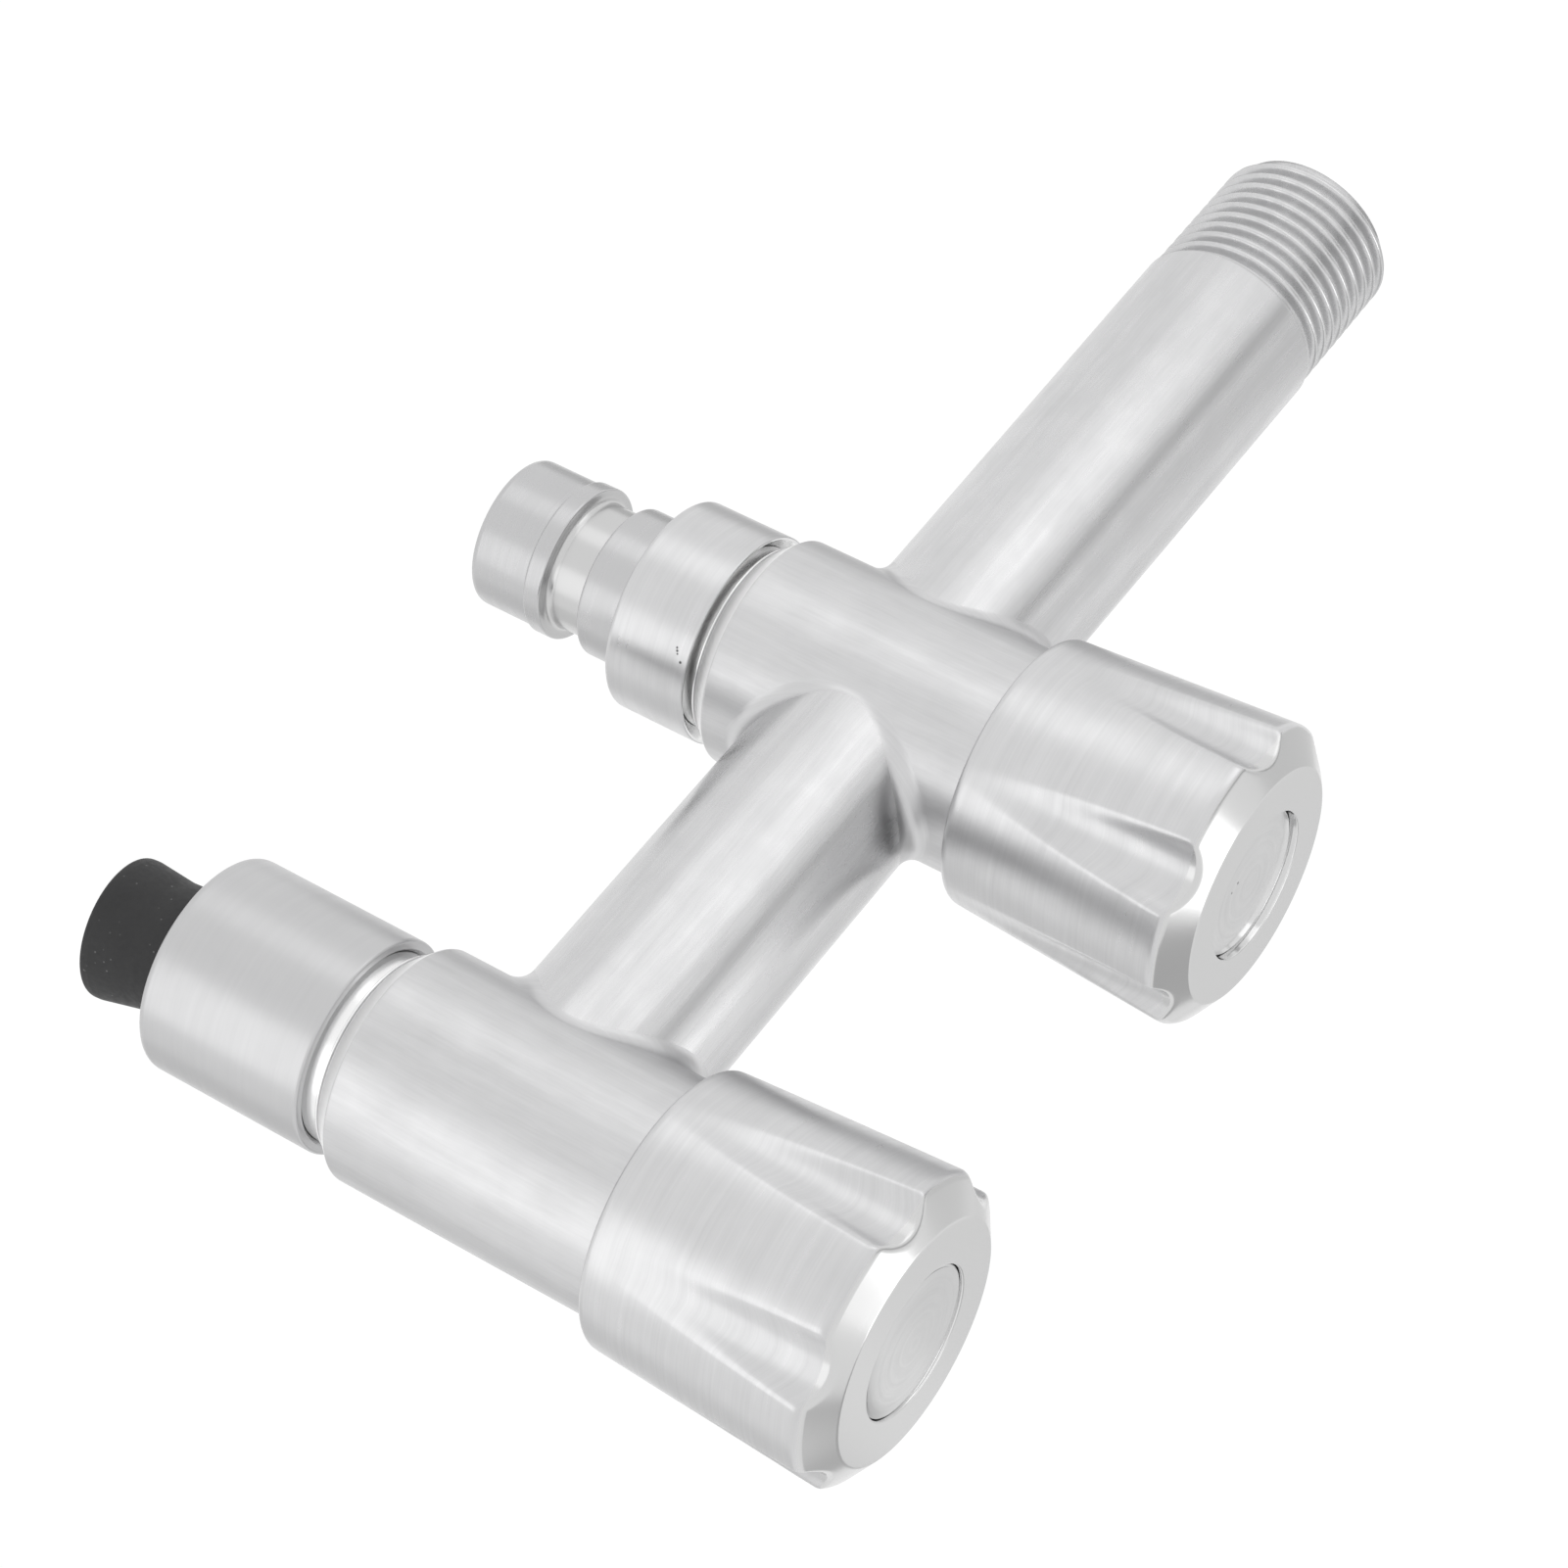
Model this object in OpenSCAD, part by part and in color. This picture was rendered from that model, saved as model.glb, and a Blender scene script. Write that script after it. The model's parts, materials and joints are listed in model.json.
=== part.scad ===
// Double washing machine tap of stainless steel: a wall inlet, two quarter-turn
// headworks one behind the other, a hose nipple and a rubber nozzle.
// Y runs into the wall, Z is the axis of both valves with the handles on top,
// and the origin is on the inlet axis where the thread meets its shoulder.

/* [Inlet and link pipes] */
// Outside radius of the half-inch inlet thread
thread_r = 10.478; // [9.5:0.1:12]
// Length of the threaded end
thread_len = 18; // [12:0.5:24]
// Chamfer at the mouth of the thread
thread_chamfer = 0.9; // [0.3:0.1:1.5]
// Radius of the inlet pipe at the shoulder of the thread
shoulder_r = 10.7; // [10.2:0.1:12]
// Outside radius of the inlet pipe where it meets the valve
pipe_r = 10.45; // [9.5:0.05:11]
// Radius of the waterway in both pipes
pipe_bore_r = 7.6; // [6:0.1:8]
// From the shoulder of the thread to the axis of the wall valve
inlet_len = 66; // [45:1:100]
// Outside radius of the link pipe between the valves
link_r = 10.45; // [9.5:0.05:11]
// Distance between the two valve axes
valve_pitch = 63.5; // [50:0.5:90]
// Radius of the concave weld that blends a pipe into a valve body
weld_r = 2.2; // [1:0.1:3]

/* [Valve bodies] */
// Outside radius of a valve body
body_r = 12.7; // [12:0.1:15]
// Height of a body above the pipe axis
body_top = 17; // [16:0.5:22]
// Depth of a body below the pipe axis
body_bottom = 18.1; // [17:0.1:20]
// Height of the chamfer at the foot of a body
body_chamfer = 2.5; // [1:0.1:3]
// Width of the ledge between that chamfer and the neck
neck_ledge = 0.3; // [0.1:0.05:0.5]
// Wall of a body round the chamber of the headwork
body_wall = 2.3; // [1.8:0.1:2.6]
// Depth of the valve seat below the pipe bore
seat_drop = 1.4; // [0.8:0.1:2.5]
// Thickness of the seat web
seat_web = 1.8; // [1:0.1:2.5]
// Radius of the hole in the seat
seat_hole_r = 4.5; // [3:0.1:5]
// Radius of the waterway below the seat
outlet_bore_r = 6.5; // [5:0.1:7.5]
// Outside radius of the threaded neck below a body
neck_r = 10.3; // [9.8:0.1:10.6]

/* [Wall valve outlet] */
// Open groove between the body and the union collar
union_gap = 0.6; // [0.4:0.1:6]
// Outside radius of the union collar
union_r = 11.85; // [11.5:0.05:14]
// Height of the union collar
union_h = 9.8; // [9:0.1:16]
// Thickness of the lip that clamps the nipple
union_lip = 2.5; // [1.5:0.1:3]
// Width of the thin edge round the mouth of the union collar
union_edge = 0.35; // [0.2:0.05:0.6]
// Depth of the chamfer inside that mouth
union_mouth = 1.2; // [0.5:0.1:2]
// Thickness of the flange of the nipple
nipple_flange = 1.5; // [1:0.1:2]
// Outside radius of the barrel of the nipple
barrel_r = 8.45; // [8:0.05:9]
// Length of the barrel below the collar
barrel_len = 6.1; // [3:0.1:12]
// Length of the locking groove
groove_len = 4.7; // [4:0.1:7]
// Smallest radius of the locking groove
groove_r = 7.2; // [6.6:0.1:7.6]
// Radius of the raised locking ring
lock_r = 8.7; // [8.5:0.05:9.4]
// Length of the locking ring
lock_len = 2.2; // [1.2:0.1:4]
// Radius of the sealing nose
nose_r = 8.36; // [7.9:0.02:8.4]
// Length of the sealing nose
nose_len = 7.1; // [4:0.1:12]
// Radius of the waterway through the nipple
nipple_bore_r = 5.0; // [3.5:0.1:5.5]

/* [Front valve outlet] */
// Open groove between the body and the outlet collar
spout_gap = 1.7; // [0.4:0.1:6]
// Outside radius of the outlet collar
spout_r = 11.7; // [11.4:0.05:14]
// Height of the outlet collar
spout_h = 19.8; // [15:0.2:28]
// Thickness of the lip that holds the nozzle
spout_lip = 2.0; // [1:0.1:3]
// Chamfer inside the mouth of the outlet collar
spout_mouth = 0.4; // [0.2:0.05:0.7]
// Length of the neck inside the outlet collar
spout_engage = 4.0; // [3:0.1:7]
// Radius of the waist of the rubber nozzle
waist_r = 6.85; // [6:0.05:7.2]
// Radius of the flared lip of the rubber nozzle
flare_r = 7.5; // [7.2:0.05:8.5]
// Length of the nozzle below the collar
nozzle_len = 10.9; // [6:0.1:20]
// Radius of the waterway through the nozzle
nozzle_bore_r = 4.4; // [3:0.1:4.8]
// Lean of the nozzle away from the wall, in degrees
nozzle_lean = 5; // [0:0.5:6]
// Lean of the nozzle to the side, in degrees
nozzle_side_lean = 1.25; // [0:0.25:2]
// Thickness of the filter screen
screen_t = 0.6; // [0.4:0.1:1]
// Radius of one hole in the screen
mesh_hole_r = 0.7; // [0.4:0.05:0.8]
// Distance between holes in the screen
mesh_pitch = 2.1; // [1.9:0.1:3]

/* [Handles] */
// Wall of the skirt with which the handle covers a body
skirt_wall = 1.75; // [1.5:0.05:4]
// Growth of the handle's radius from its rim to its crown
flare = 1.65; // [0.8:0.05:3]
// Width of the front chamfer of the handle
crown_in = 3.5; // [2:0.1:5]
// Height of the handle
handle_h = 28.2; // [28:0.1:34]
// Height of the front chamfer of the handle
crown_drop = 2.4; // [1:0.1:3.5]
// Rounding of the rim of the handle
rim_round = 1.1; // [0.5:0.1:1.1]
// Rounding between the flank and the front chamfer
crown_round = 1.6; // [0.8:0.1:2]
// Rounding between the front chamfer and the face
face_round = 0.6; // [0.2:0.1:1]
// How far the rim of the handle covers the top of the body
skirt_lap = 2.0; // [1.5:0.1:3]
// How much higher the front handle sits than the wall handle
front_lift = 1.0; // [0:0.1:1.2]
// Number of flutes round a handle
flutes = 6; // [4:1:8]
// Height above the rim at which a flute runs out
flute_tip = 5.4; // [4:0.1:9]
// Radius of the round cutter that grinds a flute
flute_r = 5.7; // [4.5:0.1:7.5]
// Angle at which the cutter sinks into the flank, in degrees
flute_sink = 5.3; // [4.5:0.1:6.5]
// Turn of the flutes of the wall handle, in degrees
wall_flute_turn = 44.8; // [0:0.1:60]
// Turn of the flutes of the front handle, in degrees
front_flute_turn = 53.5; // [0:0.1:60]
// Radius of the recess for the index cap
recess_r = 8.15; // [7:0.05:9]
// Depth of the recess for the wall index cap
wall_recess_d = 2.0; // [1.4:0.1:2.2]
// Depth of the recess for the front index cap
front_recess_d = 1.4; // [1.3:0.1:2.2]
// Gap round the index cap
cap_gap = 0.2; // [0.1:0.05:0.4]
// Height of the index cap at its rim
cap_h = 1.1; // [0.6:0.1:1.2]
// Extra height of the crown of the index cap
cap_dome = 0.25; // [0.1:0.05:0.4]

/* [Headworks] */
// Radius of the spindle
spindle_r = 4.0; // [3.6:0.1:4.4]
// Side of the square drive of the spindle
drive_side = 5.4; // [4.8:0.1:5.6]
// Waterway between the cartridge and the chamber round it
shell_gap = 1.6; // [1.2:0.1:1.9]
// Wall of the cartridge round its discs
shell_wall = 1.8; // [1.4:0.1:2]
// Height of the cartridge thread in the body
zone_h = 8; // [6:0.1:8.4]
// Height of the seat ring
seat_ring_h = 2.0; // [1.5:0.1:2.5]
// Height of the fixed ceramic disc
fixed_h = 2.5; // [2:0.1:3]
// Height of the moving ceramic disc
moving_h = 2.2; // [1.8:0.1:2.8]
// Height of the fork at the foot of the spindle
fork_h = 1.8; // [1.2:0.1:2.2]
// Depth of the tongue that turns the moving disc
tongue_d = 1.0; // [0.6:0.1:1.2]
// Height of the open space above the fork
window_h = 5.0; // [3:0.1:6]
// Thickness of the washer under the cartridge flange
bonnet_t = 0.8; // [0.5:0.1:1.2]
// Thickness of the cartridge flange
flange_t = 1.4; // [1:0.1:2]
// Size of the hexagon across its flats
hex_af = 19; // [17:0.5:20]
// Height of the hexagon
hex_h = 3.6; // [3:0.1:4.2]
// Radius of the gland neck
gland_r = 7.0; // [6:0.1:7.4]
// Height of the gland neck above the hexagon
gland_h = 2.6; // [2:0.1:3]
// Radius of the handle screw
screw_r = 1.5; // [1.2:0.1:1.7]
// Length of the handle screw under its head
screw_len = 6; // [4:0.5:7]

/* [Clearances] */
// Running clearance between a turning part and its bore
run_clear = 0.05; // [0.02:0.01:0.08]
// Clearance of a threaded or pushed joint
fit_clear = 0.05; // [0.02:0.01:0.1]
// Clearance between a still part and a part that turns past it
turn_clear = 0.4; // [0.3:0.05:0.6]

/* [Hidden] */
$fn = 96;
steel = [0.80, 0.80, 0.81];
bright_steel = [0.86, 0.86, 0.87];
brass = [0.78, 0.65, 0.36];
ceramic = [0.93, 0.92, 0.88];
rubber = [0.13, 0.13, 0.14];
cut = 1;             // overlap of a cutter past the face that it opens
washer_t = 1.5;      // thickness of the flat washers in the outlets
flange_in = 0.2;     // gap between a clamped flange and the thread round it
wall_y = -inlet_len;
chamber_r = body_r - body_wall;
shell_r = chamber_r - shell_gap;
cavity_r = shell_r - shell_wall;
front_y = -inlet_len - valve_pitch;

// Levels of the headwork, from the seat upwards
seat_z = -pipe_bore_r - seat_drop;
fixed_z = seat_z + seat_ring_h;
moving_z = fixed_z + fixed_h;
fork_z = moving_z + moving_h;
window_z = fork_z + fork_h;
cavity_top = window_z + window_h;
flange_z = body_top + bonnet_t;
hex_z = flange_z + flange_t;
gland_z = hex_z + hex_h;
gland_top = gland_z + gland_h;
flange_r = body_r - turn_clear;
hex_r = hex_af / 2 / cos(30);
bore_r = spindle_r + run_clear;
disc_fit = 0.1;      // gap round the fixed disc and the seat ring
disc_r = cavity_r - disc_fit;
moving_r = cavity_r - turn_clear;
port_r = 1.6;        // radius of a water port in the discs
port_land = 0.7;     // disc left outside a water port
port_at = moving_r - port_r - port_land;
tongue_w = 2.6;
tongue_len = 2 * spindle_r;
fork_w = 4;
fork_room = 0.5;     // solid shell left above the window of the cartridge
ring_groove_d = 1.1;
ring_groove_r = spindle_r - ring_groove_d;
ring_groove_h = 1.5;
ring_levels = [body_top - 4, body_top - 0.5];
clip_gap = 0.3;
clip_t = 0.9;
clip_r = 6;
clip_groove_d = 0.6;
clip_groove_r = spindle_r - clip_groove_d;
clip_mouth = 1.2;    // opening of the circlip as a share of its bore radius
clip_z = gland_top + clip_gap;
shaft_step = 0.8;    // round shaft left above the circlip
shaft_top = clip_z + clip_t + shaft_step;

// Levels of the handle, measured from its rim
rim_z = body_top - skirt_lap;
skirt_r = body_r + turn_clear;
rim_r = skirt_r + skirt_wall;
crown_r = rim_r + flare;
face_r = crown_r - crown_in;
web_gap = 0.4;       // gap between the spindle and the web of the handle
web_t = 1.1;         // web left between the drive and the screw pocket
web_z = shaft_top - rim_z + web_gap;
ledge_z = handle_h - max(wall_recess_d, front_recess_d);
screw_head_r = 2.9;
screw_head_h = 2.1;
pocket_r = 4.6;
screw_room = 1.0;    // space over the screw head under the cap
screw_end = 0.5;     // blind end of the screw hole
pocket_z = ledge_z - screw_head_h - screw_room;
web_top = pocket_z - web_t;
skirt_top = hex_z - rim_z + turn_clear;
hex_room_r = hex_r + turn_clear;
hex_room_top = gland_z - rim_z + turn_clear;
clip_room_r = max(clip_r, gland_r) + turn_clear;
flank = atan(flare / (handle_h - crown_drop));

// Levels of the outlets, downwards from the pipe axis
union_top = -body_bottom - union_gap;
union_foot = union_top - union_h;
nipple_top = union_foot + union_lip + nipple_flange;
wall_neck_z = nipple_top + washer_t;
groove_z = union_foot - barrel_len;
lock_z = groove_z - groove_len;
nose_z = lock_z - lock_len;
nose_end = nose_z - nose_len;
spout_top = -body_bottom - spout_gap;
spout_foot = spout_top - spout_h;
front_neck_z = spout_top - spout_engage;
screen_z = front_neck_z - washer_t;
head_z = screen_z - screen_t;
lip_z = spout_foot + spout_lip;
clamp_r = neck_r - flange_in;
nozzle_room = 0.9;   // space round the waist of the nozzle
lip_hole_r = waist_r + nozzle_room;

// Points of a soft corner that leaves a, turns at b and ends at c
function soft(a, b, c, n = 5) =
    [for (i = [0:n]) let (t = i / n) (1 - t) * (1 - t) * a + 2 * t * (1 - t) * b + t * t * c];

module revolve(points) {
    rotate_extrude() polygon(points);
}

module ring(r_out, r_in, z, h) {
    revolve([[r_in, z], [r_out, z], [r_out, z + h], [r_in, z + h]]);
}

module along_y() {
    rotate([-90, 0, 0]) children();
}

module at_wall() {
    translate([0, wall_y, 0]) children();
}

module at_front() {
    translate([0, front_y, 0]) children();
}

// Room that a valve body takes from the end of a pipe
module cope() {
    cylinder(r = body_r, h = 4 * body_r, center = true);
}

// One rolling-ball blend round a pipe of radius r: every section has its
// corner on the saddle curve and its hollow side on the ball that touches both.
function ball(r, a) =
    let (x = (r + weld_r) * cos(a))
    [x, sqrt(pow(body_r + weld_r, 2) - x * x), (r + weld_r) * sin(a)];
function on_pipe(r, a) = [r * cos(a), ball(r, a)[1], r * sin(a)];
function on_body(r, a) =
    let (c = ball(r, a), k = body_r / (body_r + weld_r))
    [c[0] * k, c[1] * k, c[2]];
function saddle(r, a) = [r * cos(a), sqrt(pow(body_r, 2) - pow(r * cos(a), 2)), r * sin(a)];
function unit(v) = v / norm(v);
function weld_section(r, a, m) =
    let (c = ball(r, a), p = on_pipe(r, a), b = on_body(r, a))
    concat([saddle(r, a)],
           [for (i = [0:m]) c + weld_r * unit((1 - i / m) * (p - c) + (i / m) * (b - c))]);

module weld(r, side) {
    turns = 60;
    hollow = 4;
    k = hollow + 2;
    points = [for (i = [0:turns - 1]) each weld_section(r, i * 360 / turns, hollow)];
    faces = [for (i = [0:turns - 1]) for (j = [0:k - 1])
        let (i2 = (i + 1) % turns, j2 = (j + 1) % k)
        each [[i * k + j, i * k + j2, i2 * k + j], [i2 * k + j, i * k + j2, i2 * k + j2]]];
    rotate([0, 0, side > 0 ? 0 : 180]) polyhedron(points, faces);
}

module inlet_pipe() {
    color(steel) difference() {
        along_y() revolve([
            [pipe_bore_r, wall_y], [pipe_r, wall_y], [pipe_r, wall_y + body_r],
            [shoulder_r, 0], [thread_r, 0], [thread_r, thread_len - thread_chamfer],
            [thread_r - thread_chamfer, thread_len], [pipe_bore_r, thread_len]
        ]);
        at_wall() cope();
    }
}

module link_pipe() {
    color(steel) difference() {
        along_y() ring(link_r, pipe_bore_r, front_y, valve_pitch);
        at_wall() cope();
        at_front() cope();
    }
}

// A valve body with its neck; ports holds +1 towards the wall and -1 away from it
module valve_body(neck_z, ports) {
    foot = [neck_r + neck_ledge, -body_bottom];
    shoulder = [body_r, -body_bottom + body_chamfer];
    edge = 0.15;
    color(steel) difference() {
        revolve(concat(
            [[outlet_bore_r, neck_z], [neck_r, neck_z], [neck_r, -body_bottom], foot],
            soft(shoulder + edge * (foot - shoulder), shoulder, shoulder + [0, edge * body_chamfer], 3),
            [[body_r, body_top], [chamber_r, body_top], [chamber_r, seat_z],
             [seat_hole_r, seat_z], [seat_hole_r, seat_z - seat_web],
             [outlet_bore_r, seat_z - seat_web]]
        ));
        for (side = ports)
            rotate([-90 * side, 0, 0]) cylinder(r = pipe_bore_r, h = body_r + cut);
    }
}

module cartridge() {
    color(brass) difference() {
        union() {
            revolve([
                [0, seat_z + seat_ring_h / 2], [shell_r, seat_z + seat_ring_h / 2],
                [shell_r, body_top - zone_h], [chamber_r - fit_clear, body_top - zone_h],
                [chamber_r - fit_clear, flange_z], [flange_r, flange_z], [flange_r, hex_z],
                [gland_r, hex_z], [gland_r, gland_top], [0, gland_top]
            ]);
            translate([0, 0, hex_z]) cylinder(r = hex_r, h = hex_h, $fn = 6);
        }
        translate([0, 0, seat_z]) cylinder(r = cavity_r, h = cavity_top - seat_z);
        cylinder(r = bore_r, h = gland_top + cut);
        translate([-shell_r - cut, -cavity_r / 2, fork_z])
            cube([2 * (shell_r + cut), cavity_r, fork_h + window_h - fork_room]);
    }
}

module seat_ring() {
    color(rubber) ring(disc_r, seat_hole_r, seat_z, seat_ring_h);
}

module fixed_disc() {
    color(ceramic) difference() {
        translate([0, 0, fixed_z]) cylinder(r = disc_r, h = fixed_h);
        for (s = [-1, 1])
            translate([0, s * port_at, fixed_z - cut]) cylinder(r = port_r, h = fixed_h + 2 * cut);
    }
}

// The closed valve has its moving ports a quarter turn away from the fixed ones
module moving_disc() {
    color(ceramic) difference() {
        translate([0, 0, moving_z]) cylinder(r = moving_r, h = moving_h);
        for (s = [-1, 1])
            translate([s * port_at, 0, moving_z - cut]) cylinder(r = port_r, h = moving_h + 2 * cut);
        translate([-tongue_w / 2 - fit_clear, -tongue_len / 2 - fit_clear, fork_z - tongue_d - fit_clear])
            cube([tongue_w + 2 * fit_clear, tongue_len + 2 * fit_clear, tongue_d + cut]);
    }
}

module bonnet_washer() {
    color(rubber) ring(flange_r, chamber_r, body_top, bonnet_t);
}

module spindle(lift) {
    color(bright_steel) difference() {
        union() {
            translate([0, 0, window_z]) cylinder(r = spindle_r, h = shaft_top - window_z);
            intersection() {
                translate([-fork_w / 2, -moving_r, fork_z]) cube([fork_w, 2 * moving_r, fork_h]);
                translate([0, 0, fork_z]) cylinder(r = moving_r, h = fork_h);
            }
            translate([-tongue_w / 2, -tongue_len / 2, fork_z - tongue_d])
                cube([tongue_w, tongue_len, tongue_d]);
            translate([-drive_side / 2, -drive_side / 2, shaft_top])
                cube([drive_side, drive_side, rim_z + lift + web_top - web_gap - shaft_top]);
        }
        for (z = ring_levels)
            ring(spindle_r + cut, ring_groove_r, z - ring_groove_h / 2, ring_groove_h);
        ring(spindle_r + cut, clip_groove_r, clip_z, clip_t);
        translate([0, 0, rim_z + lift + pocket_z - screw_len - screw_end])
            cylinder(r = screw_r + fit_clear, h = screw_len + cut);
    }
}

module spindle_rings() {
    section_r = (bore_r - run_clear / 2 - ring_groove_r) / 2;
    color(rubber) for (z = ring_levels)
        rotate_extrude() translate([ring_groove_r + section_r, z]) circle(r = section_r);
}

module circlip() {
    color(steel) difference() {
        ring(clip_r, clip_groove_r, clip_z, clip_t);
        translate([0, -clip_groove_r * clip_mouth / 2, clip_z - cut])
            cube([clip_r + cut, clip_groove_r * clip_mouth, clip_t + 2 * cut]);
    }
}

// One flute is ground by a round cutter that meets the flank at the flute's
// tip and sinks into it towards the crown, which gives the flute a flame shape
module flute() {
    translate([rim_r + flute_tip * tan(flank), 0, flute_tip])
        rotate([0, flank - flute_sink, 0])
            translate([flute_r, 0, -flute_tip / 2]) cylinder(r = flute_r, h = handle_h + flute_tip);
}

module handle(lift, turn, recess_d) {
    shoulder = handle_h - crown_drop;
    front = [face_r - crown_r, crown_drop] / norm([face_r - crown_r, crown_drop]);
    color(bright_steel) translate([0, 0, rim_z + lift]) difference() {
        revolve(concat(
            [[0, 0]],
            soft([rim_r - rim_round, 0], [rim_r, 0], [rim_r + rim_round * tan(flank), rim_round], 3),
            soft([crown_r - crown_round * tan(flank), shoulder - crown_round], [crown_r, shoulder],
                 [crown_r, shoulder] + crown_round * front, 4),
            soft([face_r, handle_h] - face_round * front, [face_r, handle_h],
                 [face_r - face_round, handle_h], 2),
            [[0, handle_h]]
        ));
        for (i = [0:flutes - 1])
            rotate([0, 0, turn + i * 360 / flutes]) flute();
        translate([0, 0, -cut]) cylinder(r = skirt_r, h = skirt_top + cut);
        cylinder(r = hex_room_r, h = hex_room_top);
        cylinder(r = clip_room_r, h = web_z);
        translate([-drive_side / 2 - fit_clear, -drive_side / 2 - fit_clear, 0])
            cube([drive_side + 2 * fit_clear, drive_side + 2 * fit_clear, web_top]);
        cylinder(r = screw_r + 2 * fit_clear, h = handle_h);
        translate([0, 0, pocket_z]) cylinder(r = pocket_r, h = handle_h);
        translate([0, 0, handle_h - recess_d]) cylinder(r = recess_r, h = handle_h);
    }
}

module index_cap(lift, recess_d) {
    cap_r = recess_r - cap_gap;
    edge = 0.3;
    crown = cap_r * 0.4;
    color(steel) translate([0, 0, rim_z + lift + handle_h - recess_d])
        revolve(concat([[0, 0], [cap_r, 0]],
            soft([cap_r, cap_h - edge], [cap_r, cap_h], [cap_r - edge, cap_h], 3),
            soft([cap_r - 2 * edge, cap_h], [crown, cap_h + cap_dome], [0, cap_h + cap_dome], 5)));
}

module handle_screw(lift) {
    color(steel) translate([0, 0, rim_z + lift + pocket_z]) {
        difference() {
            cylinder(r = screw_head_r, h = screw_head_h);
            translate([0, 0, screw_head_h / 2]) cylinder(r = screw_r, h = screw_head_h, $fn = 6);
        }
        translate([0, 0, -screw_len]) cylinder(r = screw_r, h = screw_len);
    }
}

module union_collar() {
    edge = 0.5;
    color(steel) at_wall() revolve(concat(
        [[barrel_r + fit_clear, union_foot]],
        soft([union_r - edge, union_foot], [union_r, union_foot], [union_r, union_foot + edge], 2),
        [[union_r, union_top], [union_r - union_edge, union_top],
         [neck_r + fit_clear, union_top - union_mouth], [neck_r + fit_clear, union_foot + union_lip],
         [barrel_r + fit_clear, union_foot + union_lip]]
    ));
}

module nipple_washer() {
    color(rubber) at_wall() ring(clamp_r, outlet_bore_r, nipple_top, washer_t);
}

module hose_nipple() {
    edge = 0.7;
    brow = 0.2;
    fillet = min(0.8, 0.9 * (min(barrel_r, lock_r) - brow - groove_r));
    color(bright_steel) at_wall() revolve(concat(
        [[nipple_bore_r, nipple_top], [clamp_r, nipple_top],
         [clamp_r, nipple_top - nipple_flange], [barrel_r, nipple_top - nipple_flange],
         [barrel_r, groove_z + brow], [barrel_r - brow, groove_z]],
        soft([groove_r + fillet, groove_z], [groove_r, groove_z], [groove_r, groove_z - fillet], 3),
        soft([groove_r, lock_z + fillet], [groove_r, lock_z], [groove_r + fillet, lock_z], 3),
        [[lock_r - brow, lock_z], [lock_r, lock_z - brow],
         [lock_r, nose_z + brow], [nose_r, nose_z]],
        soft([nose_r, nose_end + edge], [nose_r, nose_end], [nose_r - edge, nose_end], 3),
        [[nipple_bore_r, nose_end]]
    ));
}

module outlet_collar() {
    edge = 0.9;
    brim = 0.4;
    color(steel) at_front() revolve(concat(
        [[lip_hole_r, spout_foot]],
        soft([spout_r - edge, spout_foot], [spout_r, spout_foot], [spout_r, spout_foot + edge], 3),
        soft([spout_r, spout_top - brim], [spout_r, spout_top], [spout_r - brim, spout_top], 2),
        [[neck_r + fit_clear + spout_mouth, spout_top], [neck_r + fit_clear, spout_top - spout_mouth],
         [neck_r + fit_clear, lip_z], [lip_hole_r, lip_z]]
    ));
}

module spout_washer() {
    color(rubber) at_front() ring(clamp_r, outlet_bore_r, screen_z, washer_t);
}

// A round screen whose holes lie on a triangular grid inside the washer's bore
module filter_screen() {
    rows = floor(outlet_bore_r / mesh_pitch);
    color(bright_steel) at_front() difference() {
        translate([0, 0, head_z]) cylinder(r = clamp_r, h = screen_t);
        for (i = [-rows:rows]) for (j = [-rows:rows])
            let (x = (i + j / 2) * mesh_pitch, y = j * mesh_pitch * sin(60))
            if (norm([x, y]) + mesh_hole_r < outlet_bore_r)
                translate([x, y, head_z - cut]) cylinder(r = mesh_hole_r, h = screen_t + 2 * cut);
    }
}

// The nozzle hangs from a thick head that the collar's lip carries
module rubber_nozzle() {
    reach = spout_lip + nozzle_len;
    root = 2;
    brim = 0.8;
    color(rubber) at_front() difference() {
        union() {
            translate([0, 0, lip_z]) cylinder(r = clamp_r, h = head_z - lip_z);
            translate([0, 0, lip_z]) rotate([-nozzle_lean, -nozzle_side_lean, 0]) revolve(concat(
                [[0, root], [waist_r, root], [waist_r, -spout_lip]],
                soft([waist_r, -reach / 2], [waist_r, 2.5 * brim - reach], [flare_r, 1.2 * brim - reach], 4),
                soft([flare_r, brim - reach], [flare_r, -reach], [flare_r - brim, -reach], 3),
                [[0, -reach]]
            ));
        }
        translate([0, 0, lip_z]) cylinder(r = nozzle_bore_r, h = head_z - lip_z + cut);
        translate([0, 0, lip_z]) rotate([-nozzle_lean, -nozzle_side_lean, 0])
            translate([0, 0, -reach - cut]) cylinder(r = nozzle_bore_r, h = reach + root + cut);
    }
}

inlet_pipe();
at_wall() valve_body(wall_neck_z, [1, -1]);  // wall_valve_body
link_pipe();
at_front() valve_body(front_neck_z, [1]);  // front_valve_body
color(steel) at_wall() weld(pipe_r, 1);  // inlet_weld
color(steel) at_wall() weld(link_r, -1);  // link_wall_weld
color(steel) at_front() weld(link_r, 1);  // link_front_weld
at_wall() cartridge();  // wall_cartridge
at_front() cartridge();  // front_cartridge
at_wall() seat_ring();  // wall_seat_ring
at_front() seat_ring();  // front_seat_ring
at_wall() fixed_disc();  // wall_fixed_disc
at_front() fixed_disc();  // front_fixed_disc
at_wall() bonnet_washer();  // wall_bonnet_washer
at_front() bonnet_washer();  // front_bonnet_washer
union_collar();
nipple_washer();
hose_nipple();
outlet_collar();
spout_washer();
filter_screen();
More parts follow.
